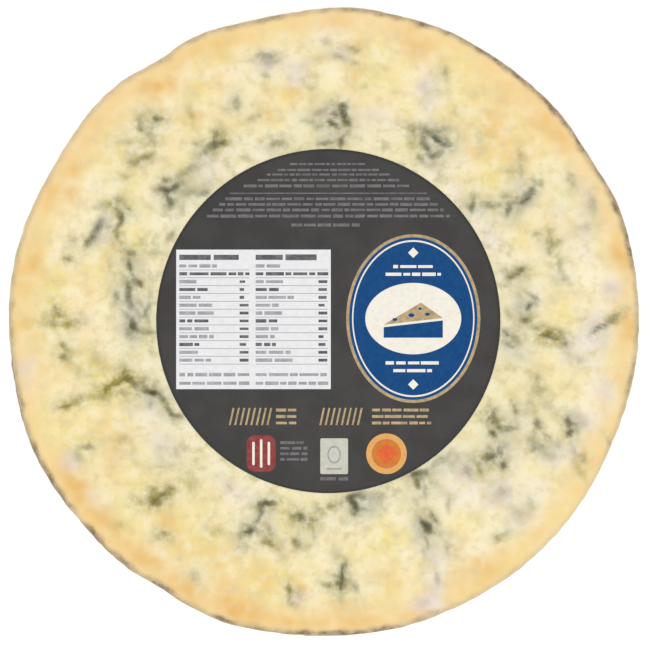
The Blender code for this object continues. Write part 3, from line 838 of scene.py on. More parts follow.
@dataclass(frozen=True)
class CheeseFinish:
    """Cream paste with mould and stains on the cut face, and a crusty rind round it.

    The hues come first, then the noises, then how each noise lets its layer in, then the strengths.
    """

    cream: Hue = Hue(254, 241, 200)
    butter: Hue = Hue(251, 234, 180)
    straw: Hue = Hue(246, 230, 154)
    inner: Hue = Hue(240, 233, 198)
    band: Hue = Hue(250, 217, 152)
    edge: Hue = Hue(236, 214, 172)
    shade: Hue = Hue(222, 205, 158)
    gleam: Hue = Hue(254, 246, 216)
    # The tint of each stain, in the order in which they are laid
    stains: tuple[tuple[Stain, Hue], ...] = (
        (Stain.LEMON, Hue(248, 227, 150)),
        (Stain.WARM, Hue(240, 192, 112)),
        (Stain.PALE, Hue(247, 236, 223)),
        (Stain.COOL, Hue(194, 193, 177)),
        (Stain.VIOLET, Hue(208, 187, 184)),
    )
    murk: Hue = Hue(186, 180, 138)
    mist: Hue = Hue(235, 234, 204)
    soft_blue: Hue = Hue(155, 155, 130)
    soft_olive: Hue = Hue(179, 165, 84)
    heart_blue: Hue = Hue(73, 77, 60)
    heart_olive: Hue = Hue(100, 95, 42)
    line_olive: Hue = Hue(138, 124, 92)
    line_rosy: Hue = Hue(192, 165, 136)
    rind_tan: Hue = Hue(184, 154, 116)
    rind_bloom: Hue = Hue(222, 211, 192)
    # Dark rind, laid as painted shade in the wrinkles and low spots of the crust, and as its dark specks
    rind_dark: Hue = Hue(118, 92, 66)
    rind_stain: Hue = Hue(196, 146, 92)
    rind_mould: Hue = Hue(156, 152, 136)

    broad_grain: Grain = Grain(24 * MM)
    cloud_grain: Grain = Grain(11 * MM, 2.0, 0.5, 2.0)
    mottle_grain: Grain = Grain(8 * MM, 1.0, 0.5, 1.0)
    dapple_grain: Grain = Grain(6 * MM, 2.0, 0.45, 3.0)
    dimple_grain: Grain = Grain(2.8 * MM, 2.0, 0.45, 17.0)
    murk_grain: Grain = Grain(4.4 * MM, 3.0, 0.55, 4.0)
    wisp_grain: Grain = Grain(2.6 * MM, 3.0, 0.5, 12.0)
    thread_grain: Grain = Grain(2.6 * MM, 4.0, 0.65, 7.0)
    speck_grain: Grain = Grain(0.9 * MM, 3.0, 0.6, 6.0)
    crumb_grain: Grain = Grain(1.3 * MM, 4.0, 0.6, 8.0)
    crust_grain: Grain = Grain(3.2 * MM, 4.0, 0.6, 16.0)
    patch_grain: Grain = Grain(15 * MM, 5.0, 0.6, 13.0)
    dust_grain: Grain = Grain(4 * MM, 5.0, 0.65, 14.0)
    blotch_grain: Grain = Grain(22 * MM, 3.0, 0.55, 15.0)

    cream_fade: Fade = Fade(0.36, 0.62)
    straw_fade: Fade = Fade(0.48, 0.66, 0.5)
    loose_fade: Fade = Fade(0.32, 0.68, 0.8)
    gleam_fade: Fade = Fade(0.52, 0.3, 0.45)
    shade_fade: Fade = Fade(0.48, 0.7, 0.4)
    dimple_fade: Fade = Fade(0.48, 0.72, 0.4)
    mist_fade: Fade = Fade(0.56, 0.4, 1.8)
    murk_fade: Fade = Fade(0.5, 0.72)
    wisp_fade: Fade = Fade(0.34, 0.68, 1.3)
    line_fade: Fade = Fade(0.38, 0.62)
    side_fade: Fade = Fade(0.4, 0.7)
    blotch_fade: Fade = Fade(0.44, 0.74, 0.6)
    bloom_fade: Fade = Fade(0.38, 0.64, 0.9)
    mould_fade: Fade = Fade(0.98, 1.25, 0.55)
    # Partly painted shade in the low spots of the rind's fine relief, partly its dark specks
    pit_shade_fade: Fade = Fade(0.47, 0.36, 0.5)

    inner_share: float = 0.5
    lip_share: float = 0.5
    band_calm: float = 0.75
    thread_fray: float = 3.6
    speck_fray: float = 1.2
    roughness: float = 0.5
    heart_roughness: float = 0.16
    rind_roughness: float = 0.3
    speck_roughness: float = 0.12
    refraction: float = 1.36
    relief_depth: float = 0.35 * MM
    relief_strength: float = 0.55
    glow: float = 0.12
    glow_depth: float = 1.6 * MM
    glow_colour: tuple[float, float, float] = (1.0, 0.62, 0.3)

    def paste(self, desk: Desk) -> bpy.types.NodeSocket:
        """Mix the colour of the paste without its mould."""
        mottle, dapple, dimple = desk.grains(self.mottle_grain, self.dapple_grain, self.dimple_grain)
        broad, cloud, murk = desk.grains(self.broad_grain, self.cloud_grain, self.murk_grain)
        band, inner, edge = (desk.attribute(name) for name in ("band", "inner", "edge_mould"))
        colour = desk.blend(self.cream_fade.of(broad), self.butter, self.cream)
        colour = desk.blend(self.straw_fade.of(cloud), colour, self.straw)
        colour = desk.blend(inner * self.inner_share, colour, self.inner)
        colour = desk.blend(band * (0.45 + 0.7 * mottle), colour, self.band)
        loose = 0.5 + self.loose_fade.of(mottle)
        for stain, hue in self.stains:
            colour = desk.blend(desk.attribute(stain.value) * loose, colour, hue)
        plain = 1.0 - self.band_calm * band
        colour = desk.blend(self.gleam_fade.of(dapple) * plain, colour, self.gleam)
        low = self.shade_fade.of(dapple) + self.dimple_fade.of(dimple)
        colour = desk.blend(low * plain, colour, self.shade)
        colour = desk.blend(edge * (1.0 - edge) * self.mist_fade.of(dimple), colour, self.mist)
        veil = self.murk_fade.of(murk) * (0.1 + 0.45 * inner + 0.4 * edge)
        return desk.blend(veil, colour, self.murk)

    def mould(self, desk: Desk, paste: bpy.types.NodeSocket, heart: Signal) -> bpy.types.NodeSocket:
        """Lay the mould over the paste.

        Args:
            desk: The material.
            paste: The colour of the paste.
            heart: How much of the dark heart of a mark there is.

        Returns:
            The colour of the cut face.
        """
        olive = desk.attribute("olive")
        soft = desk.blend(olive, self.soft_blue, self.soft_olive)
        dark = desk.blend(olive, self.heart_blue, self.heart_olive)
        edge = desk.attribute("edge_mould") * (0.25 + self.wisp_fade.of(desk.grain(self.wisp_grain)))
        return desk.blend(heart, desk.blend(edge, paste, soft), dark)

    def rind(self, desk: Desk, crumbly: Signal) -> bpy.types.NodeSocket:
        """Mix the colour of the rind, with painted shade in its wrinkles and low spots.

        Args:
            desk: The material.
            crumbly: A fine crumbly pattern, the same as in the relief.

        Returns:
            The colour of the rind.
        """
        patch, dust, blotch = desk.grains(self.patch_grain, self.dust_grain, self.blotch_grain)
        colour = desk.blend(self.blotch_fade.of(blotch), self.rind_tan, self.rind_stain)
        colour = desk.blend(self.bloom_fade.of(0.6 * patch + 0.4 * dust), colour, self.rind_bloom)
        colour = desk.blend(self.mould_fade.of(blotch + dust), colour, self.rind_mould)
        # Painted shade in the low spots of the crumbly relief, mixed with dark specks where the dust noise
        # is low
        colour = desk.blend(self.pit_shade_fade.of(0.5 * dust + 0.5 * crumbly), colour, self.rind_dark)
        # Painted shade: the rind is darker deep in its wrinkles, more where the dust noise is high
        return desk.blend(desk.attribute("shaded_hollow") * (0.25 + 0.8 * dust), colour, self.rind_dark)

    def build(self) -> bpy.types.Material:
        """Make the material.

        Returns:
            The finished material.
        """
        desk = Desk("blue_cheese")
        speck, thread = desk.grains(self.speck_grain, self.thread_grain)
        crumbly, crust = desk.grains(self.crumb_grain, self.crust_grain)
        mark = desk.attribute("mould")
        fray = thread.swing(self.thread_fray) + speck.swing(self.speck_fray)
        heart = mark + mark * (1.0 - mark) * fray
        face = desk.blend(desk.attribute("lip") * self.lip_share, self.paste(desk), self.edge)
        face = self.mould(desk, face, heart)
        # The rind's line: real, and also darker with painted shade on the back right rim and lighter with
        # painted light on the front right rim
        line = desk.attribute("line") * (0.3 + 1.4 * crumbly)
        face = desk.blend(line, face, desk.blend(self.line_fade.of(crust), self.line_olive, self.line_rosy))
        side = self.side_fade.of(desk.attribute("rind") + crumbly.swing(0.3))
        height = crumbly * (0.5 + 0.7 * side) + 1.6 * crust * side + 0.35 * speck - 0.8 * heart
        desk.bump(height, self.relief_depth, self.relief_strength)
        dull = self.roughness + self.heart_roughness * heart + self.rind_roughness * side
        return desk.dress(
            Base_Color=desk.blend(side, face, self.rind(desk, crumbly)),
            Roughness=dull + speck.swing(self.speck_roughness),
            IOR=self.refraction,
            Subsurface_Weight=self.glow,
            Subsurface_Radius=self.glow_colour,
            Subsurface_Scale=self.glow_depth,
        )


# The fibres of the label's paper, which also show through its inks
FIBRE_GRAIN = Grain(0.35 * MM, 3.0, 0.6, 1.0)


@dataclass(frozen=True)
class PaperFinish:
    """Dark satin label paper with a faint mottle and a darker cut edge."""

    ground: Hue = Hue(64, 63, 62)
    light: Hue = Hue(72, 71, 70)
    edge: Hue = Hue(52, 52, 50)
    edge_width: float = 1.3 * MM
    edge_dark: float = 0.3
    edge_share: float = 0.8
    cloud_grain: Grain = Grain(9 * MM, 3.0)
    cloud_fade: Fade = Fade(0.35, 0.65)
    roughness: float = 0.42
    fibre_roughness: float = 0.12
    cloud_roughness: float = 0.1
    refraction: float = 1.3
    relief_depth: float = 0.03 * MM
    relief_strength: float = 0.35
    cloud_relief: float = 2.0

    def build(self, form: WheelForm) -> bpy.types.Material:
        """Make the material.

        Args:
            form: The form of the wheel, which holds the label's place.

        Returns:
            The finished material.
        """
        desk = Desk("label_paper")
        cloud, fibre = desk.grains(self.cloud_grain, FIBRE_GRAIN)
        flat = desk.node(
            "ShaderNodeVectorMath",
            {"operation": "MULTIPLY_ADD"},
            {0: desk.places, 1: (1.0, 1.0, 0.0), 2: (-form.label_x, -form.label_y, 0.0)},
        )
        length = desk.node("ShaderNodeVectorMath", {"operation": "LENGTH"}, {0: flat.outputs[0]})
        out = Signal(desk, length.outputs["Value"])
        start = form.label_radius - self.edge_width
        rim = out.rise(start, form.label_radius - self.edge_dark * self.edge_width)
        colour = desk.blend(self.cloud_fade.of(cloud), self.ground, self.light)
        desk.bump(fibre + self.cloud_relief * cloud, self.relief_depth, self.relief_strength)
        dull = fibre.swing(self.fibre_roughness) + cloud.swing(self.cloud_roughness)
        return desk.dress(
            Base_Color=desk.blend(rim * self.edge_share, colour, self.edge),
            Roughness=self.roughness + dull,
            IOR=self.refraction,
        )


@dataclass(frozen=True)
class InkFinish:
    """Printing ink: its colour with a faint unevenness, and its gloss."""

    name: str
    colour: Hue
    thin: Hue
    roughness: float = 0.42
    refraction: float = 1.3
    fibre_roughness: float = 0.12
    patchy_grain: Grain = Grain(1.6 * MM, 4.0, 0.6)
    thin_fade: Fade = Fade(0.35, 0.7)
    relief_depth: float = 0.02 * MM
    relief_strength: float = 0.3

    def build(self) -> bpy.types.Material:
        """Make the material.

        Returns:
            The finished material.
        """
        desk = Desk(self.name)
        patchy, fibre = desk.grains(self.patchy_grain, FIBRE_GRAIN)
        desk.bump(fibre, self.relief_depth, self.relief_strength)
        return desk.dress(
            Base_Color=desk.blend(self.thin_fade.of(patchy), self.colour, self.thin),
            Roughness=self.roughness + fibre.swing(self.fibre_roughness),
            IOR=self.refraction,
        )


class Ink(Enum):
    """The inks of the label."""

    GREY = InkFinish("ink_grey", Hue(122, 120, 121), Hue(102, 100, 101))
    WHITE = InkFinish("ink_white", Hue(239, 239, 240), Hue(232, 232, 233))
    BLACK = InkFinish("ink_black", Hue(88, 88, 92), Hue(120, 120, 125))
    FAINT = InkFinish("ink_faint", Hue(158, 158, 164), Hue(180, 180, 185))
    GOLD = InkFinish("ink_gold", Hue(196, 170, 126), Hue(164, 143, 108), 0.34)
    BLUE = InkFinish(
        "ink_blue", Hue(26, 74, 128, DULL_SHEEN_LEVEL), Hue(34, 80, 132, DULL_SHEEN_LEVEL), 0.42, 1.12
    )
    CREAM = InkFinish("ink_cream", Hue(247, 242, 230), Hue(241, 234, 218))
    RED = InkFinish("ink_red", Hue(140, 56, 56), Hue(154, 78, 76))
    ORANGE = InkFinish("ink_orange", Hue(232, 110, 54), Hue(222, 96, 46))
    TANGERINE = InkFinish("ink_tangerine", Hue(216, 130, 54), Hue(206, 118, 48))
    AMBER = InkFinish("ink_amber", Hue(232, 178, 106), Hue(224, 164, 92))
    SAGE = InkFinish("ink_sage", Hue(208, 208, 192), Hue(198, 199, 182))


def spun(
    mesh: bmesh.types.BMesh, points: Sequence[tuple[float, float, float]], steps: int
) -> list[bmesh.types.BMVert]:
    """Turn a row of points round the Z axis, and close it.

    Args:
        mesh: The mesh that the shape is added to.
        points: The row.
        steps: How many steps one turn has.

    Returns:
        The corners of the new shape.
    """
    known = set(mesh.verts)
    row = [mesh.verts.new(point) for point in points]
    edges = [mesh.edges.new(pair) for pair in zip(row, row[1:])]
    bmesh.ops.spin(
        mesh, geom=row + edges, cent=(0, 0, 0), axis=(0, 0, 1), angle=2 * pi, steps=steps, use_merge=True
    )
    new = [vert for vert in mesh.verts if vert not in known]
    bmesh.ops.remove_doubles(mesh, verts=new, dist=SAME_PLACE)
    return [vert for vert in mesh.verts if vert not in known]


def turned(profile: Sequence[tuple[float, float]], steps: int) -> bmesh.types.BMesh:
    """Turn a half section round the Z axis into one closed shell.

    Args:
        profile: Radius and height of its corners, from axis to axis.
        steps: How many steps one turn has.

    Returns:
        The shell, with its faces pointing out.
    """
    mesh = bmesh.new()
    spun(mesh, [(radius, 0.0, height) for radius, height in profile], steps)
    bmesh.ops.recalc_face_normals(mesh, faces=mesh.faces[:])
    return mesh


def as_piece(name: str, mesh: bmesh.types.BMesh, material: bpy.types.Material) -> bpy.types.Object:
    """Make a smooth object from a finished mesh.

    Args:
        name: The piece's name.
        mesh: Its mesh, which is used up.
        material: Its finish.

    Returns:
        The object, at the origin.
    """
    data = bpy.data.meshes.new(name)
    mesh.to_mesh(data)
    mesh.free()
    data.materials.append(material)
    data.shade_smooth()
    piece = bpy.data.objects.new(name, data)
    bpy.context.scene.collection.objects.link(piece)
    return piece


def corners_of(data: bpy.types.Mesh) -> Points:
    """Give the corners of a mesh, one row each."""
    flat = np.zeros(len(data.vertices) * 3)
    data.vertices.foreach_get("co", flat)
    return flat.reshape(-1, 3)


def move_corners(data: bpy.types.Mesh, corners: Points) -> None:
    """Put the corners of a mesh at new places."""
    data.vertices.foreach_set("co", corners.astype(np.float32).ravel())
    data.update()


def store(data: bpy.types.Mesh, name: str, values: Values) -> None:
    """Keep one number for each corner of a mesh under a name."""
    layer = data.attributes.new(name, "FLOAT", "POINT")
    layer.data.foreach_set("value", np.clip(values, 0.0, 1.0).astype(np.float32))


@dataclass
class CheeseWheel:
    """The wheel: a fine turned shell with the outline, the crust and the cut face of the real one."""

    form: WheelForm
    finish: CheeseFinish = CheeseFinish()
    mould: MouldField = MouldField()
    ragged: Wander = Wander((Relief(4.6 * MM, 0.4 * MM, 21.3), Relief(1.9 * MM, 0.5 * MM, 5.9)))
    drift: Wander = Wander((Relief(11.0 * MM, 1.8 * MM, 24.1), Relief(3.6 * MM, 1.4 * MM, 9.7)))

    # The turned shell
    steps: int = 600
    ring_pitch: float = 0.76 * MM
    side_segments: int = 42
    round_segments: int = 8
    edge_segments: int = 6
    inner_rings: tuple[float, ...] = (50.0 * MM, 44.0 * MM, 34.0 * MM, 20.0 * MM)
    base_rings: tuple[float, ...] = tuple(ring * MM for ring in (16, 28, 38, 47, 55, 62, 68, 74, 80, 85, 90))
    fine_start: float = 54.0 * MM

    # The cut face
    grit: Relief = Relief(4.8 * MM, 0.16 * MM, 14.0)
    fine_grit: Relief = Relief(1.9 * MM, 0.08 * MM, 15.0)
    pit_depth: float = 1.7 * MM
    pit_steepness: float = 2.4
    wear_reach: float = 9.0 * MM
    chip: Relief = Relief(3.4 * MM, 0.22 * MM, 12.0)
    chip_reach: float = 3.0 * MM

    # The crust of the side: none of it down to calm_start under the cut face, and all from calm_end
    wrinkle: Relief = Relief(9.0 * MM, 1.0, 30.0)
    wrinkle_gap: Relief = Relief(8.0 * MM, 1.0, 36.0)
    wrinkle_gap_low: float = -0.3
    wrinkle_gap_high: float = 0.35
    wrinkle_bend: Relief = Relief(9.0 * MM, 3.0 * MM, 33.0)
    wrinkle_bend_up: float = 0.6
    wrinkle_depth: float = 0.55 * MM
    wrinkle_width: float = 0.13
    crease: Relief = Relief(4.6 * MM, 1.0, 38.0)
    crease_share: float = 0.5
    lump: Relief = Relief(7.5 * MM, 0.4 * MM, 41.0)
    scab: Relief = Relief(2.6 * MM, 0.16 * MM, 43.0)
    calm_start: float = 1.0 * MM
    calm_end: float = 8.0 * MM

    # Where the colours change: the inner zone and the band by the distance from the axis, the lip by
    # the distance in from the outline, and the rind by the share of the rounded edge's height
    inner_start: float = 60.0 * MM
    inner_end: float = 78.0 * MM
    band_start: float = 88.0 * MM
    band_end: float = 100.0 * MM
    lip_start: float = 2.6 * MM
    lip_end: float = 0.9 * MM
    rind_low: float = 0.02
    rind_high: float = 0.5

    # The line of rind round the cut face
    line_width: float = 1.3 * MM
    line_fade_out: float = 1.3 * MM
    line_fade_in: float = 0.7 * MM
    line_wander: Relief = Relief(4.0 * MM, 1.2 * MM, 51.0)
    line_break: Relief = Relief(6.0 * MM, 1.1, 54.0)

    def profile(self) -> list[tuple[float, float]]:
        """Give the half section, from the middle of the base round to the middle of the top.

        Returns:
            Radius and height of each corner.
        """
        form = self.form
        points = [(0.0, 0.0)] + [(ring, 0.0) for ring in self.base_rings]
        for step in range(self.round_segments + 1):
            turn = step / self.round_segments * pi / 2
            across = form.radius - form.base_round * (1 - sin(turn))
            points.append((across, form.base_round * (1 - cos(turn))))
        side = form.height - form.edge_drop - form.base_round
        for step in range(1, self.side_segments):
            points.append((form.radius, form.base_round + side * step / self.side_segments))
        for step in range(self.edge_segments + 1):
            turn = step / self.edge_segments * pi / 2
            inset = form.edge_width * (1 - cos(turn))
            points.append((form.radius - inset, form.height - form.edge_drop * (1 - sin(turn))))
        ring = form.radius - form.edge_width - self.ring_pitch
        while ring > self.fine_start:
            points.append((ring, form.height))
            ring -= self.ring_pitch
        points += [(inner, form.height) for inner in self.inner_rings]
        return points + [(0.0, form.height)]

    def hollows(self, places: Points) -> Values:
        """Give how deep in a wrinkle of the rind each place lies, from 0 to 1.

        Args:
            places: Places on the plainly turned wheel.

        Returns:
            The share of the full depth at each place.
        """
        bend = self.wrinkle_bend.through(places)
        bent = places + np.stack([bend, -bend, self.wrinkle_bend_up * bend], axis=1)
        line = self.wrinkle.through(bent) / self.wrinkle_width
        broken = ease(self.wrinkle_gap.through(places), self.wrinkle_gap_low, self.wrinkle_gap_high)
        crease = self.crease.through(bent) / self.wrinkle_width
        fine = self.crease_share * np.exp(-crease * crease) * (1.0 - broken)
        return np.maximum(np.exp(-line * line) * broken, fine)

    def wear_edge(self, out: Values, drop: Values, angle: Values) -> tuple[Values, Values]:
        """Round the edge of the cut face more where the real one is worn.

        Args:
            out: Distances in from the outline.
            drop: Distances down from the cut face.
            angle: Directions in radians.

        Returns:
            The new distances in, and the new distances down.
        """
        form, wear = self.form, self.form.worn(angle)
        on_edge = (drop <= form.edge_drop + SAME_PLACE) & (out <= form.edge_width + SAME_PLACE)
        on_top = (drop <= SAME_PLACE) & ~on_edge
        pushed = (wear - 1.0) * form.edge_width * ease(out, self.wear_reach, form.edge_width)
        return np.where(on_edge, out * wear, out + pushed * on_top), np.where(on_edge, drop * wear, drop)

    def crust(self, plain: Points, radius: Values, drop: Values) -> tuple[Values, Values]:
        """Give the crust of the side.

        Args:
            plain: Places on the plainly turned wheel.
            radius: Their distances from the axis.
            drop: Distances down from the cut face, once its edge is worn.

        Returns:
            How far the crust stands out, and how deep in a wrinkle each place lies, where the rind gets
            painted shade.
        """
        form = self.form
        skin = (drop > SAME_PLACE) & (radius > form.radius - form.base_round)
        ledge = ease(radius, form.radius - form.base_round, form.radius) * skin
        calm = ease(form.height - plain[:, 2], self.calm_start, self.calm_end)
        shaded_hollow = self.hollows(plain) * ledge * calm
        rough = calm * (self.lump.through(plain) + self.scab.through(plain)) - self.wrinkle_depth * shaded_hollow
        return ledge * (form.crust(plain) + rough), shaded_hollow

    def shape(self, data: bpy.types.Mesh) -> None:
        """Move the corners of the turned shell to the wheel's real form, and keep what its colours need.

        Args:
            data: The mesh of the turned shell.
        """
        form = self.form
        plain = corners_of(data)
        radius = np.hypot(plain[:, 0], plain[:, 1])
        angle = np.arctan2(plain[:, 1], plain[:, 0])
        out, drop = self.wear_edge(form.radius - radius, form.height - plain[:, 2], angle)
        crust, shaded_hollow = self.crust(plain, radius, drop)
        swell = form.swell(angle) * ease(radius, form.outline_inner, form.radius)
        chips = self.chip.through(plain) * ease(radius, form.radius - self.chip_reach, form.radius)
        new_radius = form.radius - out + (swell + chips + crust)
        x, y = new_radius * np.cos(angle), new_radius * np.sin(angle)
        level = ease(plain[:, 2], form.height - form.edge_drop, form.height)
        mould = self.mould.at(*self.ragged.of(x, y))
        grit = form.crumb.over(x, y) + self.grit.over(x, y) + self.fine_grit.over(x, y)
        pits = self.pit_depth * mould.heart ** self.pit_steepness
        z = form.height - drop + level * (form.broad.over(x, y) + form.bare(x, y) * (grit - pits))
        move_corners(data, np.stack([x, y, z], axis=1))
        store(data, "mould", mould.heart * level)
        store(data, "edge_mould", mould.edge * level)
        store(data, "olive", mould.olive)
        store(data, "rind", 1.0 - ease(level, self.rind_low, self.rind_high))
        # How deep in a wrinkle each place lies, by which the rind is painted darker as shade
        store(data, "shaded_hollow", shaded_hollow)
        self.keep_zones(data, plain, angle, out)
        for stain in Stain:
            store(data, stain.value, stain_at(stain, *self.drift.of(x, y)))

    def keep_zones(self, data: bpy.types.Mesh, plain: Points, angle: Values, out: Values) -> None:
        """Keep how near each corner is to the label, to the edge and to the rind's line, which also carries
        painted shade and light.

        Args:
            data: The mesh.
            plain: Places on the plainly turned wheel.
            angle: Directions in radians.
            out: Distances in from the outline.
        """
        away = self.form.radius - out
        store(data, "inner", 1.0 - ease(away, self.inner_start, self.inner_end))
        store(data, "band", ease(away, self.band_start, self.band_end))
        store(data, "lip", ease(out, self.lip_start, self.lip_end))
        # The rind's line, whose strength by angle also holds painted shade on the back right rim and painted
        # light on the front right rim
        line = np.full_like(angle, RIND_LINE_BASE)
        for centre, half, strength in RIND_LINE_AND_SHADE:
            line = line + strength * bump_at(angle, centre, half)
        line = line * (1.0 + self.line_break.through(plain))
        width = self.line_width + self.line_wander.through(plain)
        store(data, "line", line * ease(out, width + self.line_fade_out, width - self.line_fade_in))

    def build(self) -> bpy.types.Object:
        """Build the wheel in place of its solid.

        Returns:
            The piece.
        """
        piece = as_piece("cheese", turned(self.profile(), self.steps), self.finish.build())
        self.shape(piece.data)
        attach(piece, BODY)
        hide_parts("cheese_wheel")
        return piece


@dataclass(frozen=True)
class LabelPlace:
    """Where the label lies: its middle, its level, and the unevenness that it follows."""

    form: WheelForm
    lift: float = 0.06 * MM
    thickness: float = 0.2 * MM

    def lay(self, data: bpy.types.Mesh) -> None:
        """Lay a flat mesh, drawn round the label's middle over its upper face, on the cheese.

        Args:
            data: The mesh, whose height 0 is the label's upper face.
        """
        flat = corners_of(data)
        flat[:, 0] += self.form.label_x
        flat[:, 1] += self.form.label_y
        flat[:, 2] += self.form.height + self.lift + self.thickness
        flat[:, 2] += self.form.broad.over(flat[:, 0], flat[:, 1])
        move_corners(data, flat)


@dataclass
class Label:
    """The round label: a thin disc of paper that follows the cut face."""

    place: LabelPlace
    finish: PaperFinish = PaperFinish()
    steps: int = 180
    ring_pitch: float = 2.4 * MM
    edge_round: float = 0.05 * MM

    def profile(self) -> list[tuple[float, float]]:
        """Give the half section, from the middle of the lower face to the middle of the upper one.

        Returns:
            Radius and height of each corner.
        """
        radius, low = self.place.form.label_radius, -self.place.thickness
        rings = [radius - self.edge_round]
        while rings[-1] > self.ring_pitch:
            rings.append(rings[-1] - self.ring_pitch)
        under = [(0.0, low)] + [(ring, low) for ring in reversed(rings)]
        rim = [(radius, low + self.edge_round), (radius, -self.edge_round)]
        return under + rim + [(ring, 0.0) for ring in rings] + [(0.0, 0.0)]

    def build(self) -> bpy.types.Object:
        """Build the label in place of its solid.

        Returns:
            The piece.
        """
        material = self.finish.build(self.place.form)
        piece = as_piece("label_disc", turned(self.profile(), self.steps), material)
        piece.data.set_sharp_from_angle(angle=SHARP_ANGLE)
        self.place.lay(piece.data)
        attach(piece, BODY)
        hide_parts("label")
        return piece


@dataclass
class PrintSheet:
    """One ink of the label: thin closed shapes, in millimetres round the label's middle.

    Its layer is 1 for what lies on the paper, 2 for what lies on layer 1, and so on. The suffix is
    added to the piece's name. The lengths, heights and gaps of dashes are shares of a row's height,
    and the seeded chance draws them.
    """

    ink: Ink
    layer: int
    chance: random.Random
    suffix: str = ""
    depth: float = 0.02
    cell: float = 3.0
    corner_steps: int = 5
    dash_lengths: tuple[float, float] = (1.4, 5.5)
    dash_heights: tuple[float, float] = (0.78, 1.0)
    dash_gaps: tuple[float, float] = (0.4, 0.7)

    def __post_init__(self) -> None:
        """Start with an empty mesh."""
        self.mesh = bmesh.new()

    def block(self, x: float, y: float, width: float, height: float, slant: float = 0.0) -> None:
        """Print a rectangle.

        Args:
            x: Its middle along X.
            y: Its middle along Y.
            width: Its width.
            height: Its height.
            slant: How far its top leans along X for each millimetre of height.
        """
        across, up = max(1, round(width / self.cell)), max(1, round(height / self.cell))
        made = bmesh.ops.create_grid(self.mesh, x_segments=across, y_segments=up, size=0.5)
        lean = Matrix.Identity(4)
        lean[0][1] = slant
        place = Matrix.Translation((x, y, 0.0)) @ lean @ Matrix.Diagonal((width, height, 1.0, 1.0))
        bmesh.ops.transform(self.mesh, matrix=place, verts=made["verts"])
        self.thicken(made["verts"])

    def oval(self, x: float, y: float, across: float, up: float, corners: int, hole: float = 0.0) -> None:
        """Print an oval, filled or with a like hole.

        Args:
            x: Its middle along X.
            y: Its middle along Y.
            across: Its half width.
            up: Its half height.
            corners: How many corners its outline has.
            hole: The hole's size as a share of the oval's.
        """
        bands = max(1, round(max(across, up) * (1.0 - hole) / self.cell))
        shares = [1.0 - (1.0 - hole) * band / bands for band in range(bands + 1)]
        new = spun(self.mesh, [(share, 0.0, 0.0) for share in shares], corners)
        place = Matrix.Translation((x, y, 0.0)) @ Matrix.Diagonal((across, up, 1.0, 1.0))
        bmesh.ops.transform(self.mesh, matrix=place, verts=new)
        self.thicken(new)

    def shape(self, x: float, y: float, outline: Rows) -> None:
        """Print a filled shape.

        Args:
            x: Where its outline is measured from along X.
            y: Where its outline is measured from along Y.
            outline: Its corners in order.
        """
        corners = [self.mesh.verts.new((x + across, y + up, 0.0)) for across, up in outline]
        self.mesh.faces.new(corners)
        self.thicken(corners)

    def diamond(self, x: float, y: float, reach: float) -> None:
        """Print a square that stands on a corner, reach from its middle."""
        self.shape(x, y, ((reach, 0.0), (0.0, reach), (-reach, 0.0), (0.0, -reach)))

    def plate(self, x: float, y: float, width: float, height: float, corner: float) -> None:
        """Print a rectangle with rounded corners.

        Args:
            x: Its middle along X.
            y: Its middle along Y.
            width: Its width.
            height: Its height.
            corner: The radius of its corners.
        """
        outline = []
        for quarter, (right, up) in enumerate(((1, 1), (-1, 1), (-1, -1), (1, -1))):
            for step in range(self.corner_steps + 1):
                turn = (quarter + step / self.corner_steps) * pi / 2
                across = right * (width / 2 - corner) + corner * cos(turn)
                outline.append((across, up * (height / 2 - corner) + corner * sin(turn)))
        self.shape(x, y, tuple(outline))

    def dashes(self, left: float, right: float, y: float, height: float) -> None:
        """Print a row of small dashes of uneven length.

        Args:
            left: Where the row starts.
            right: Where the row ends.
            y: The middle of the row.
            height: The height of the dashes.
        """
        at = left
        while at < right - height:
            length = min(height * self.chance.uniform(*self.dash_lengths), right - at)
            self.block(at + length / 2, y, length, height * self.chance.uniform(*self.dash_heights))
            at += length + height * self.chance.uniform(*self.dash_gaps)

    def thicken(self, verts: Sequence[bmesh.types.BMVert]) -> None:
        """Turn a flat shape into a thin closed one that ends at the top of the sheet's layer.

        Args:
            verts: The shape's corners.
        """
        mine = set(verts)
        faces = [face for face in self.mesh.faces if mine.issuperset(face.verts)]
        made = bmesh.ops.extrude_face_region(self.mesh, geom=faces, use_keep_orig=True)
        upper = [item for item in made["geom"] if isinstance(item, bmesh.types.BMVert)]
        bmesh.ops.translate(self.mesh, verts=upper, vec=(0.0, 0.0, self.depth * self.layer))
        bmesh.ops.translate(self.mesh, verts=list(mine), vec=(0.0, 0.0, -self.depth))

    def build(self, place: LabelPlace) -> bpy.types.Object:
        """Lay the sheet on the label.

        Args:
            place: Where the label lies.

        Returns:
            The piece.
        """
        bmesh.ops.recalc_face_normals(self.mesh, faces=self.mesh.faces[:])
        bmesh.ops.transform(self.mesh, matrix=Matrix.Scale(MM, 4), verts=self.mesh.verts[:])
        piece = as_piece(f"print_{self.ink.name.lower()}{self.suffix}", self.mesh, self.ink.value.build())
        piece.data.set_sharp_from_angle(angle=SHARP_ANGLE)
        place.lay(piece.data)
        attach(piece, BODY)
        return piece


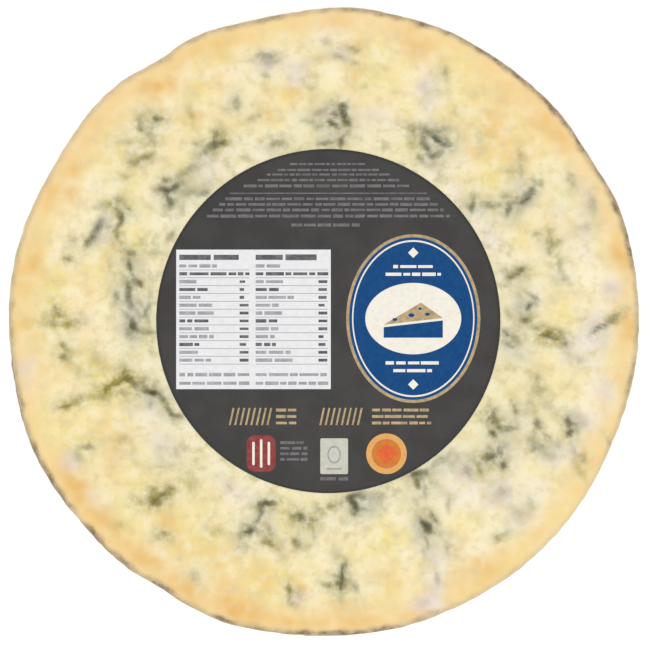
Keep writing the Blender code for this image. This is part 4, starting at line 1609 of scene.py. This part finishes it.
@dataclass
class Press:
    """The sheets of ink, from the paper up, with one seeded chance behind all rows of dashes."""

    seed: int = 11
    layers: tuple[tuple[Ink, ...], ...] = (
        (Ink.GREY, Ink.WHITE, Ink.GOLD, Ink.SAGE, Ink.AMBER, Ink.RED),
        (Ink.BLUE, Ink.FAINT, Ink.BLACK, Ink.TANGERINE),
        (Ink.ORANGE, Ink.CREAM),
    )
    layers_above: tuple[Ink, ...] = (Ink.GOLD, Ink.BLUE)

    def __post_init__(self) -> None:
        """Lay out one empty sheet for each ink, and those that go on top of all."""
        chance = random.Random(self.seed)
        self.sheets = {
            ink: PrintSheet(ink, layer, chance) for layer, inks in enumerate(self.layers, 1) for ink in inks
        }
        self.above = {
            ink: PrintSheet(ink, layer, chance, "_above")
            for layer, ink in enumerate(self.layers_above, len(self.layers) + 1)
        }

    def pick(self, *inks: Ink) -> list[PrintSheet]:
        """Give the sheets of some inks."""
        return [self.sheets[ink] for ink in inks]


@dataclass(frozen=True)
class UpperRows:
    """The grey rows in the label's upper part, with a thin rule between two of them.

    A row is its height on the label, its half length, and the height of its dashes. The rule is its
    middle, its width and its height.
    """

    rows: Rows = (
        (51.0, 12.5, 0.75), (49.1, 16.5, 0.75), (47.6, 20.0, 0.75), (45.8, 23.0, 0.8), (43.9, 27.5, 1.0),
        (39.7, 33.5, 1.0), (37.9, 35.5, 1.0), (36.1, 37.5, 1.0), (34.1, 39.5, 1.05), (31.2, 12.0, 1.1),
    )
    rule: tuple[float, ...] = (0.0, 41.5, 64.0, 0.42)

    def draw(self, press: Press) -> None:
        """Print the rows and the rule."""
        grey = press.sheets[Ink.GREY]
        for y, half, height in self.rows:
            grey.dashes(-half, half, y, height)
        grey.block(*self.rule)


@dataclass(frozen=True)
class DataPanel:
    """The white panel with its two columns of rows."""

    left: float = -49.4
    right: float = 0.8
    top: float = 23.2
    low: float = -22.1
    columns: Rows = ((-48.4, -25.6), (-23.6, 0.0))
    title_y: float = 20.7
    title_height: float = 2.0
    title_gap: float = 3.5
    rows: int = 13
    first_y: float = 17.9
    pitch: float = 2.55
    row_height: float = 1.15
    row_lengths: tuple[float, float] = (6.0, 13.0)
    dark_rows: tuple[int, ...] = (1, 3, 7, 10)
    full_row: int = 1
    rule_drop: float = 1.3
    rule_height: float = 0.2
    end_length: float = 3.2
    end_gap: float = 0.3
    end_height: float = 1.0
    foot_rows: tuple[float, ...] = (-17.4, -20.2)

    def draw(self, press: Press) -> None:
        """Print the panel, and each column from its title down."""
        white, black, faint = press.pick(Ink.WHITE, Ink.BLACK, Ink.FAINT)
        width, height = self.right - self.left, self.top - self.low
        white.block((self.left + self.right) / 2, (self.top + self.low) / 2, width, height)
        for start, end in self.columns:
            black.dashes(start, end - self.title_gap, self.title_y, self.title_height)
            for row in range(self.rows):
                self.draw_row(press, start, end, row)
            for y in self.foot_rows:
                faint.dashes(start, end, y, self.row_height)

    def draw_row(self, press: Press, start: float, end: float, row: int) -> None:
        """Print one row of a column, with a thin rule under it and short dashes at its end.

        Args:
            press: The sheets of ink.
            start: Where the column starts.
            end: Where the column ends.
            row: The number of the row, from 0.
        """
        black, faint = press.pick(Ink.BLACK, Ink.FAINT)
        y = self.first_y - self.pitch * row
        ink = black if row in self.dark_rows else faint
        reach = end
        if row != self.full_row:
            reach = start + ink.chance.uniform(*self.row_lengths)
        ink.dashes(start, reach, y, self.row_height)
        faint.block((start + end) / 2, y - self.rule_drop, end - start, self.rule_height)
        if row > self.full_row:
            black.dashes(end - self.end_length, end - self.end_gap, y, self.end_height)


@dataclass(frozen=True)
class Badge:
    """The upright oval badge with its gold rim, and on its cream disc a wedge of blue cheese.

    All that stands on it is measured from its middle: the rows by height and half length, the
    wedge's faces by their corners, and the holes in its top by place and size.
    """

    x: float = 27.6
    y: float = 0.8
    half_width: float = 21.8
    half_height: float = 27.4
    corners: int = 96
    rim: float = 1.0
    line_inset: float = 1.9
    line_hole: float = 0.978
    disc_half_width: float = 15.6
    disc_half_height: float = 11.6
    disc_corners: int = 72
    rows: Rows = ((14.4, 9.0), (16.9, 6.5))
    row_height: float = 1.1
    diamond_height: float = 21.4
    diamond_reach: float = 1.7
    wedge_side: Rows = ((-9.6, -6.2), (9.6, -6.2), (9.6, -0.6), (-9.6, -2.8))
    wedge_top: Rows = ((-9.6, -2.0), (9.6, 0.2), (2.5, 5.2))
    holes: Rows = ((-6.0, -0.3, 0.8), (-0.6, 1.1, 1.0), (4.6, 1.4, 0.8), (2.2, 3.2, 0.6))
    hole_flatness: float = 0.62
    hole_corners: int = 16

    def draw(self, press: Press) -> None:
        """Print the oval, the rows above and below its disc, and the wedge."""
        gold, blue, cream = press.pick(Ink.GOLD, Ink.BLUE, Ink.CREAM)
        x, y, corners = self.x, self.y, self.corners
        gold.oval(x, y, self.half_width, self.half_height, corners)
        blue.oval(x, y, self.half_width - self.rim, self.half_height - self.rim, corners)
        across, up = self.half_width - self.line_inset, self.half_height - self.line_inset
        cream.oval(x, y, across, up, corners, self.line_hole)
        cream.oval(x, y, self.disc_half_width, self.disc_half_height, self.disc_corners)
        for side in (-1, 1):
            for height, half in self.rows:
                cream.dashes(x - half, x + half, y + side * height, self.row_height)
            cream.diamond(x, y + side * self.diamond_height, self.diamond_reach)
        press.above[Ink.BLUE].shape(x, y, self.wedge_side)
        press.above[Ink.GOLD].shape(x, y, self.wedge_top)
        for across, up, size in self.holes:
            flat = self.hole_flatness * size
            press.above[Ink.BLUE].oval(x + across, y + up, size, flat, self.hole_corners)


@dataclass(frozen=True)
class Strokes:
    """Two groups of slanted gold strokes, and the gold rows beside them."""

    starts: tuple[float, ...] = (-31.4, -2.0)
    count: int = 8
    pitch: float = 1.75
    y: float = -31.0
    width: float = 0.62
    height: float = 5.6
    slant: float = 0.22
    rows: Rows = ((-17.0, -10.4), (14.2, 33.4))
    row_levels: tuple[float, ...] = (-28.9, -31.0, -33.1)
    row_height: float = 1.0

    def draw(self, press: Press) -> None:
        """Print the strokes, then the rows."""
        gold = press.sheets[Ink.GOLD]
        for start in self.starts:
            for stroke in range(self.count):
                gold.block(start + self.pitch * stroke, self.y, self.width, self.height, self.slant)
        for start, end in self.rows:
            for y in self.row_levels:
                gold.dashes(start, end, y, self.row_height)


@dataclass(frozen=True)
class Card:
    """The pale card with a ring and a foot line, and the grey rows beside and below it."""

    x: float = 1.9
    y: float = -43.9
    width: float = 9.0
    height: float = 11.6
    corner: float = 0.5
    ring_y: float = -43.4
    ring_half_width: float = 2.2
    ring_half_height: float = 2.9
    ring_hole: float = 0.8
    ring_corners: int = 32
    foot_y: float = -48.0
    foot_width: float = 5.0
    foot_height: float = 0.6
    side_start: float = -15.6
    side_end: float = -6.8
    side_levels: tuple[float, ...] = (-39.5, -41.3, -43.1, -44.9)
    side_height: float = 1.0
    below_start: float = -2.6
    below_end: float = 6.4
    below_y: float = -51.2
    below_height: float = 1.3

    def draw(self, press: Press) -> None:
        """Print the rows beside the card, the card, and the row below it."""
        grey, sage, faint = press.pick(Ink.GREY, Ink.SAGE, Ink.FAINT)
        for y in self.side_levels:
            grey.dashes(self.side_start, self.side_end, y, self.side_height)
        sage.plate(self.x, self.y, self.width, self.height, self.corner)
        half_width, half_height = self.ring_half_width, self.ring_half_height
        faint.oval(self.x, self.ring_y, half_width, half_height, self.ring_corners, self.ring_hole)
        faint.block(self.x, self.foot_y, self.foot_width, self.foot_height)
        grey.dashes(self.below_start, self.below_end, self.below_y, self.below_height)


@dataclass(frozen=True)
class Patch:
    """The small red patch with its upright cream stripes."""

    x: float = -21.8
    y: float = -43.0
    width: float = 9.4
    height: float = 11.8
    corner: float = 2.6
    stripe_pitch: float = 2.5
    stripe_width: float = 0.8
    stripe_height: float = 9.2
    stripe_loss: float = 1.6
    stripe_corner: float = 0.36

    def draw(self, press: Press) -> None:
        """Print the patch, and on it the stripes, of which the outer ones are shorter."""
        red, cream = press.pick(Ink.RED, Ink.CREAM)
        red.plate(self.x, self.y, self.width, self.height, self.corner)
        for column in (-1, 0, 1):
            height = self.stripe_height - self.stripe_loss * abs(column)
            x = self.x + self.stripe_pitch * column
            cream.plate(x, self.y, self.stripe_width, height, self.stripe_corner)


@dataclass(frozen=True)
class Seal:
    """The round amber seal with an orange diamond. Its inner parts are shares of its radius."""

    x: float = 18.9
    y: float = -43.1
    radius: float = 6.6
    inner: float = 0.72
    diamond: float = 0.52
    corners: int = 64

    def draw(self, press: Press) -> None:
        """Print the seal from its amber disc up."""
        amber, tangerine, orange = press.pick(Ink.AMBER, Ink.TANGERINE, Ink.ORANGE)
        for sheet, radius in ((amber, self.radius), (tangerine, self.inner * self.radius)):
            sheet.oval(self.x, self.y, radius, radius, self.corners)
        orange.diamond(self.x, self.y, self.diamond * self.radius)


@dataclass
class LabelPrint:
    """The print of the label: fields of colour, rows of dashes, and plain ornaments."""

    place: LabelPlace

    def build(self) -> list[bpy.types.Object]:
        """Print the whole label.

        Returns:
            The pieces, one for each sheet.
        """
        press = Press()
        for part in (UpperRows(), DataPanel(), Badge(), Strokes(), Card(), Patch(), Seal()):
            part.draw(press)
        return [sheet.build(self.place) for sheet in (*press.sheets.values(), *press.above.values())]


@dataclass
class Studio:
    """The pale floor, the soft lights and the camera over the wheel."""

    camera_place: tuple[float, float, float] = (0.33 * MM, -0.98 * MM, 940.0 * MM)
    lens: float = 150.0
    floor_half: float = 3.0
    floor_cells: int = 8
    floor_tones: tuple[float, float] = (0.92, 0.94)
    floor_grain: Grain = Grain(400 * MM)
    floor_fade: Fade = Fade(0.3, 0.7)
    floor_roughness: float = 0.9
    key_power: float = 12.9
    key_size: float = 1.4
    key_place: tuple[float, float, float] = (0.06, -0.12, 1.57)
    fill_level: float = 1.2

    def floor(self) -> bpy.types.Object:
        """Lay the floor.

        Returns:
            The floor.
        """
        mesh = bmesh.new()
        cells = self.floor_cells
        bmesh.ops.create_grid(mesh, x_segments=cells, y_segments=cells, size=self.floor_half)
        desk = Desk("floor")
        cloud = desk.grain(self.floor_grain)
        dark, light = ((tone, tone, tone, 1.0) for tone in self.floor_tones)
        colour = desk.blend(self.floor_fade.of(cloud), dark, light)
        floor = as_piece("floor", mesh, desk.dress(Base_Color=colour, Roughness=self.floor_roughness))
        return floor

    def lights(self) -> None:
        """Set up the even surroundings and one broad soft light."""
        scene = bpy.context.scene
        world = bpy.data.worlds.new("studio")
        world.use_nodes = True
        surroundings = world.node_tree.nodes["Background"].inputs
        surroundings["Color"].default_value = (1.0, 1.0, 1.0, 1.0)
        surroundings["Strength"].default_value = self.fill_level
        scene.world = world
        lamp = bpy.data.lights.new("key", "AREA")
        lamp.shape = "DISK"
        lamp.size = self.key_size
        lamp.energy = self.key_power
        key = bpy.data.objects.new("key", lamp)
        key.location = self.key_place
        key.rotation_euler = (-key.location).to_track_quat("-Z", "Y").to_euler()
        scene.collection.objects.link(key)

    def camera(self) -> None:
        """Set up the camera, which looks straight down as the photograph does."""
        scene = bpy.context.scene
        data = bpy.data.cameras.new("camera")
        data.lens = self.lens
        camera = bpy.data.objects.new("camera", data)
        camera.location = self.camera_place
        scene.collection.objects.link(camera)
        scene.camera = camera
        scene.view_settings.view_transform = "Standard"

    def build(self) -> None:
        """Set up the whole studio."""
        self.floor()
        self.lights()
        self.camera()


def main() -> None:
    """Build every piece in order and report it."""
    logging.basicConfig(level=logging.INFO, format="%(message)s")
    form = WheelForm()
    place = LabelPlace(form)
    Studio().build()
    pieces = [CheeseWheel(form).build(), Label(place).build()] + LabelPrint(place).build()
    for piece in pieces:
        LOG.info("%s: %d faces", piece.name, len(piece.data.polygons))


if __name__ == "__main__":
    main()
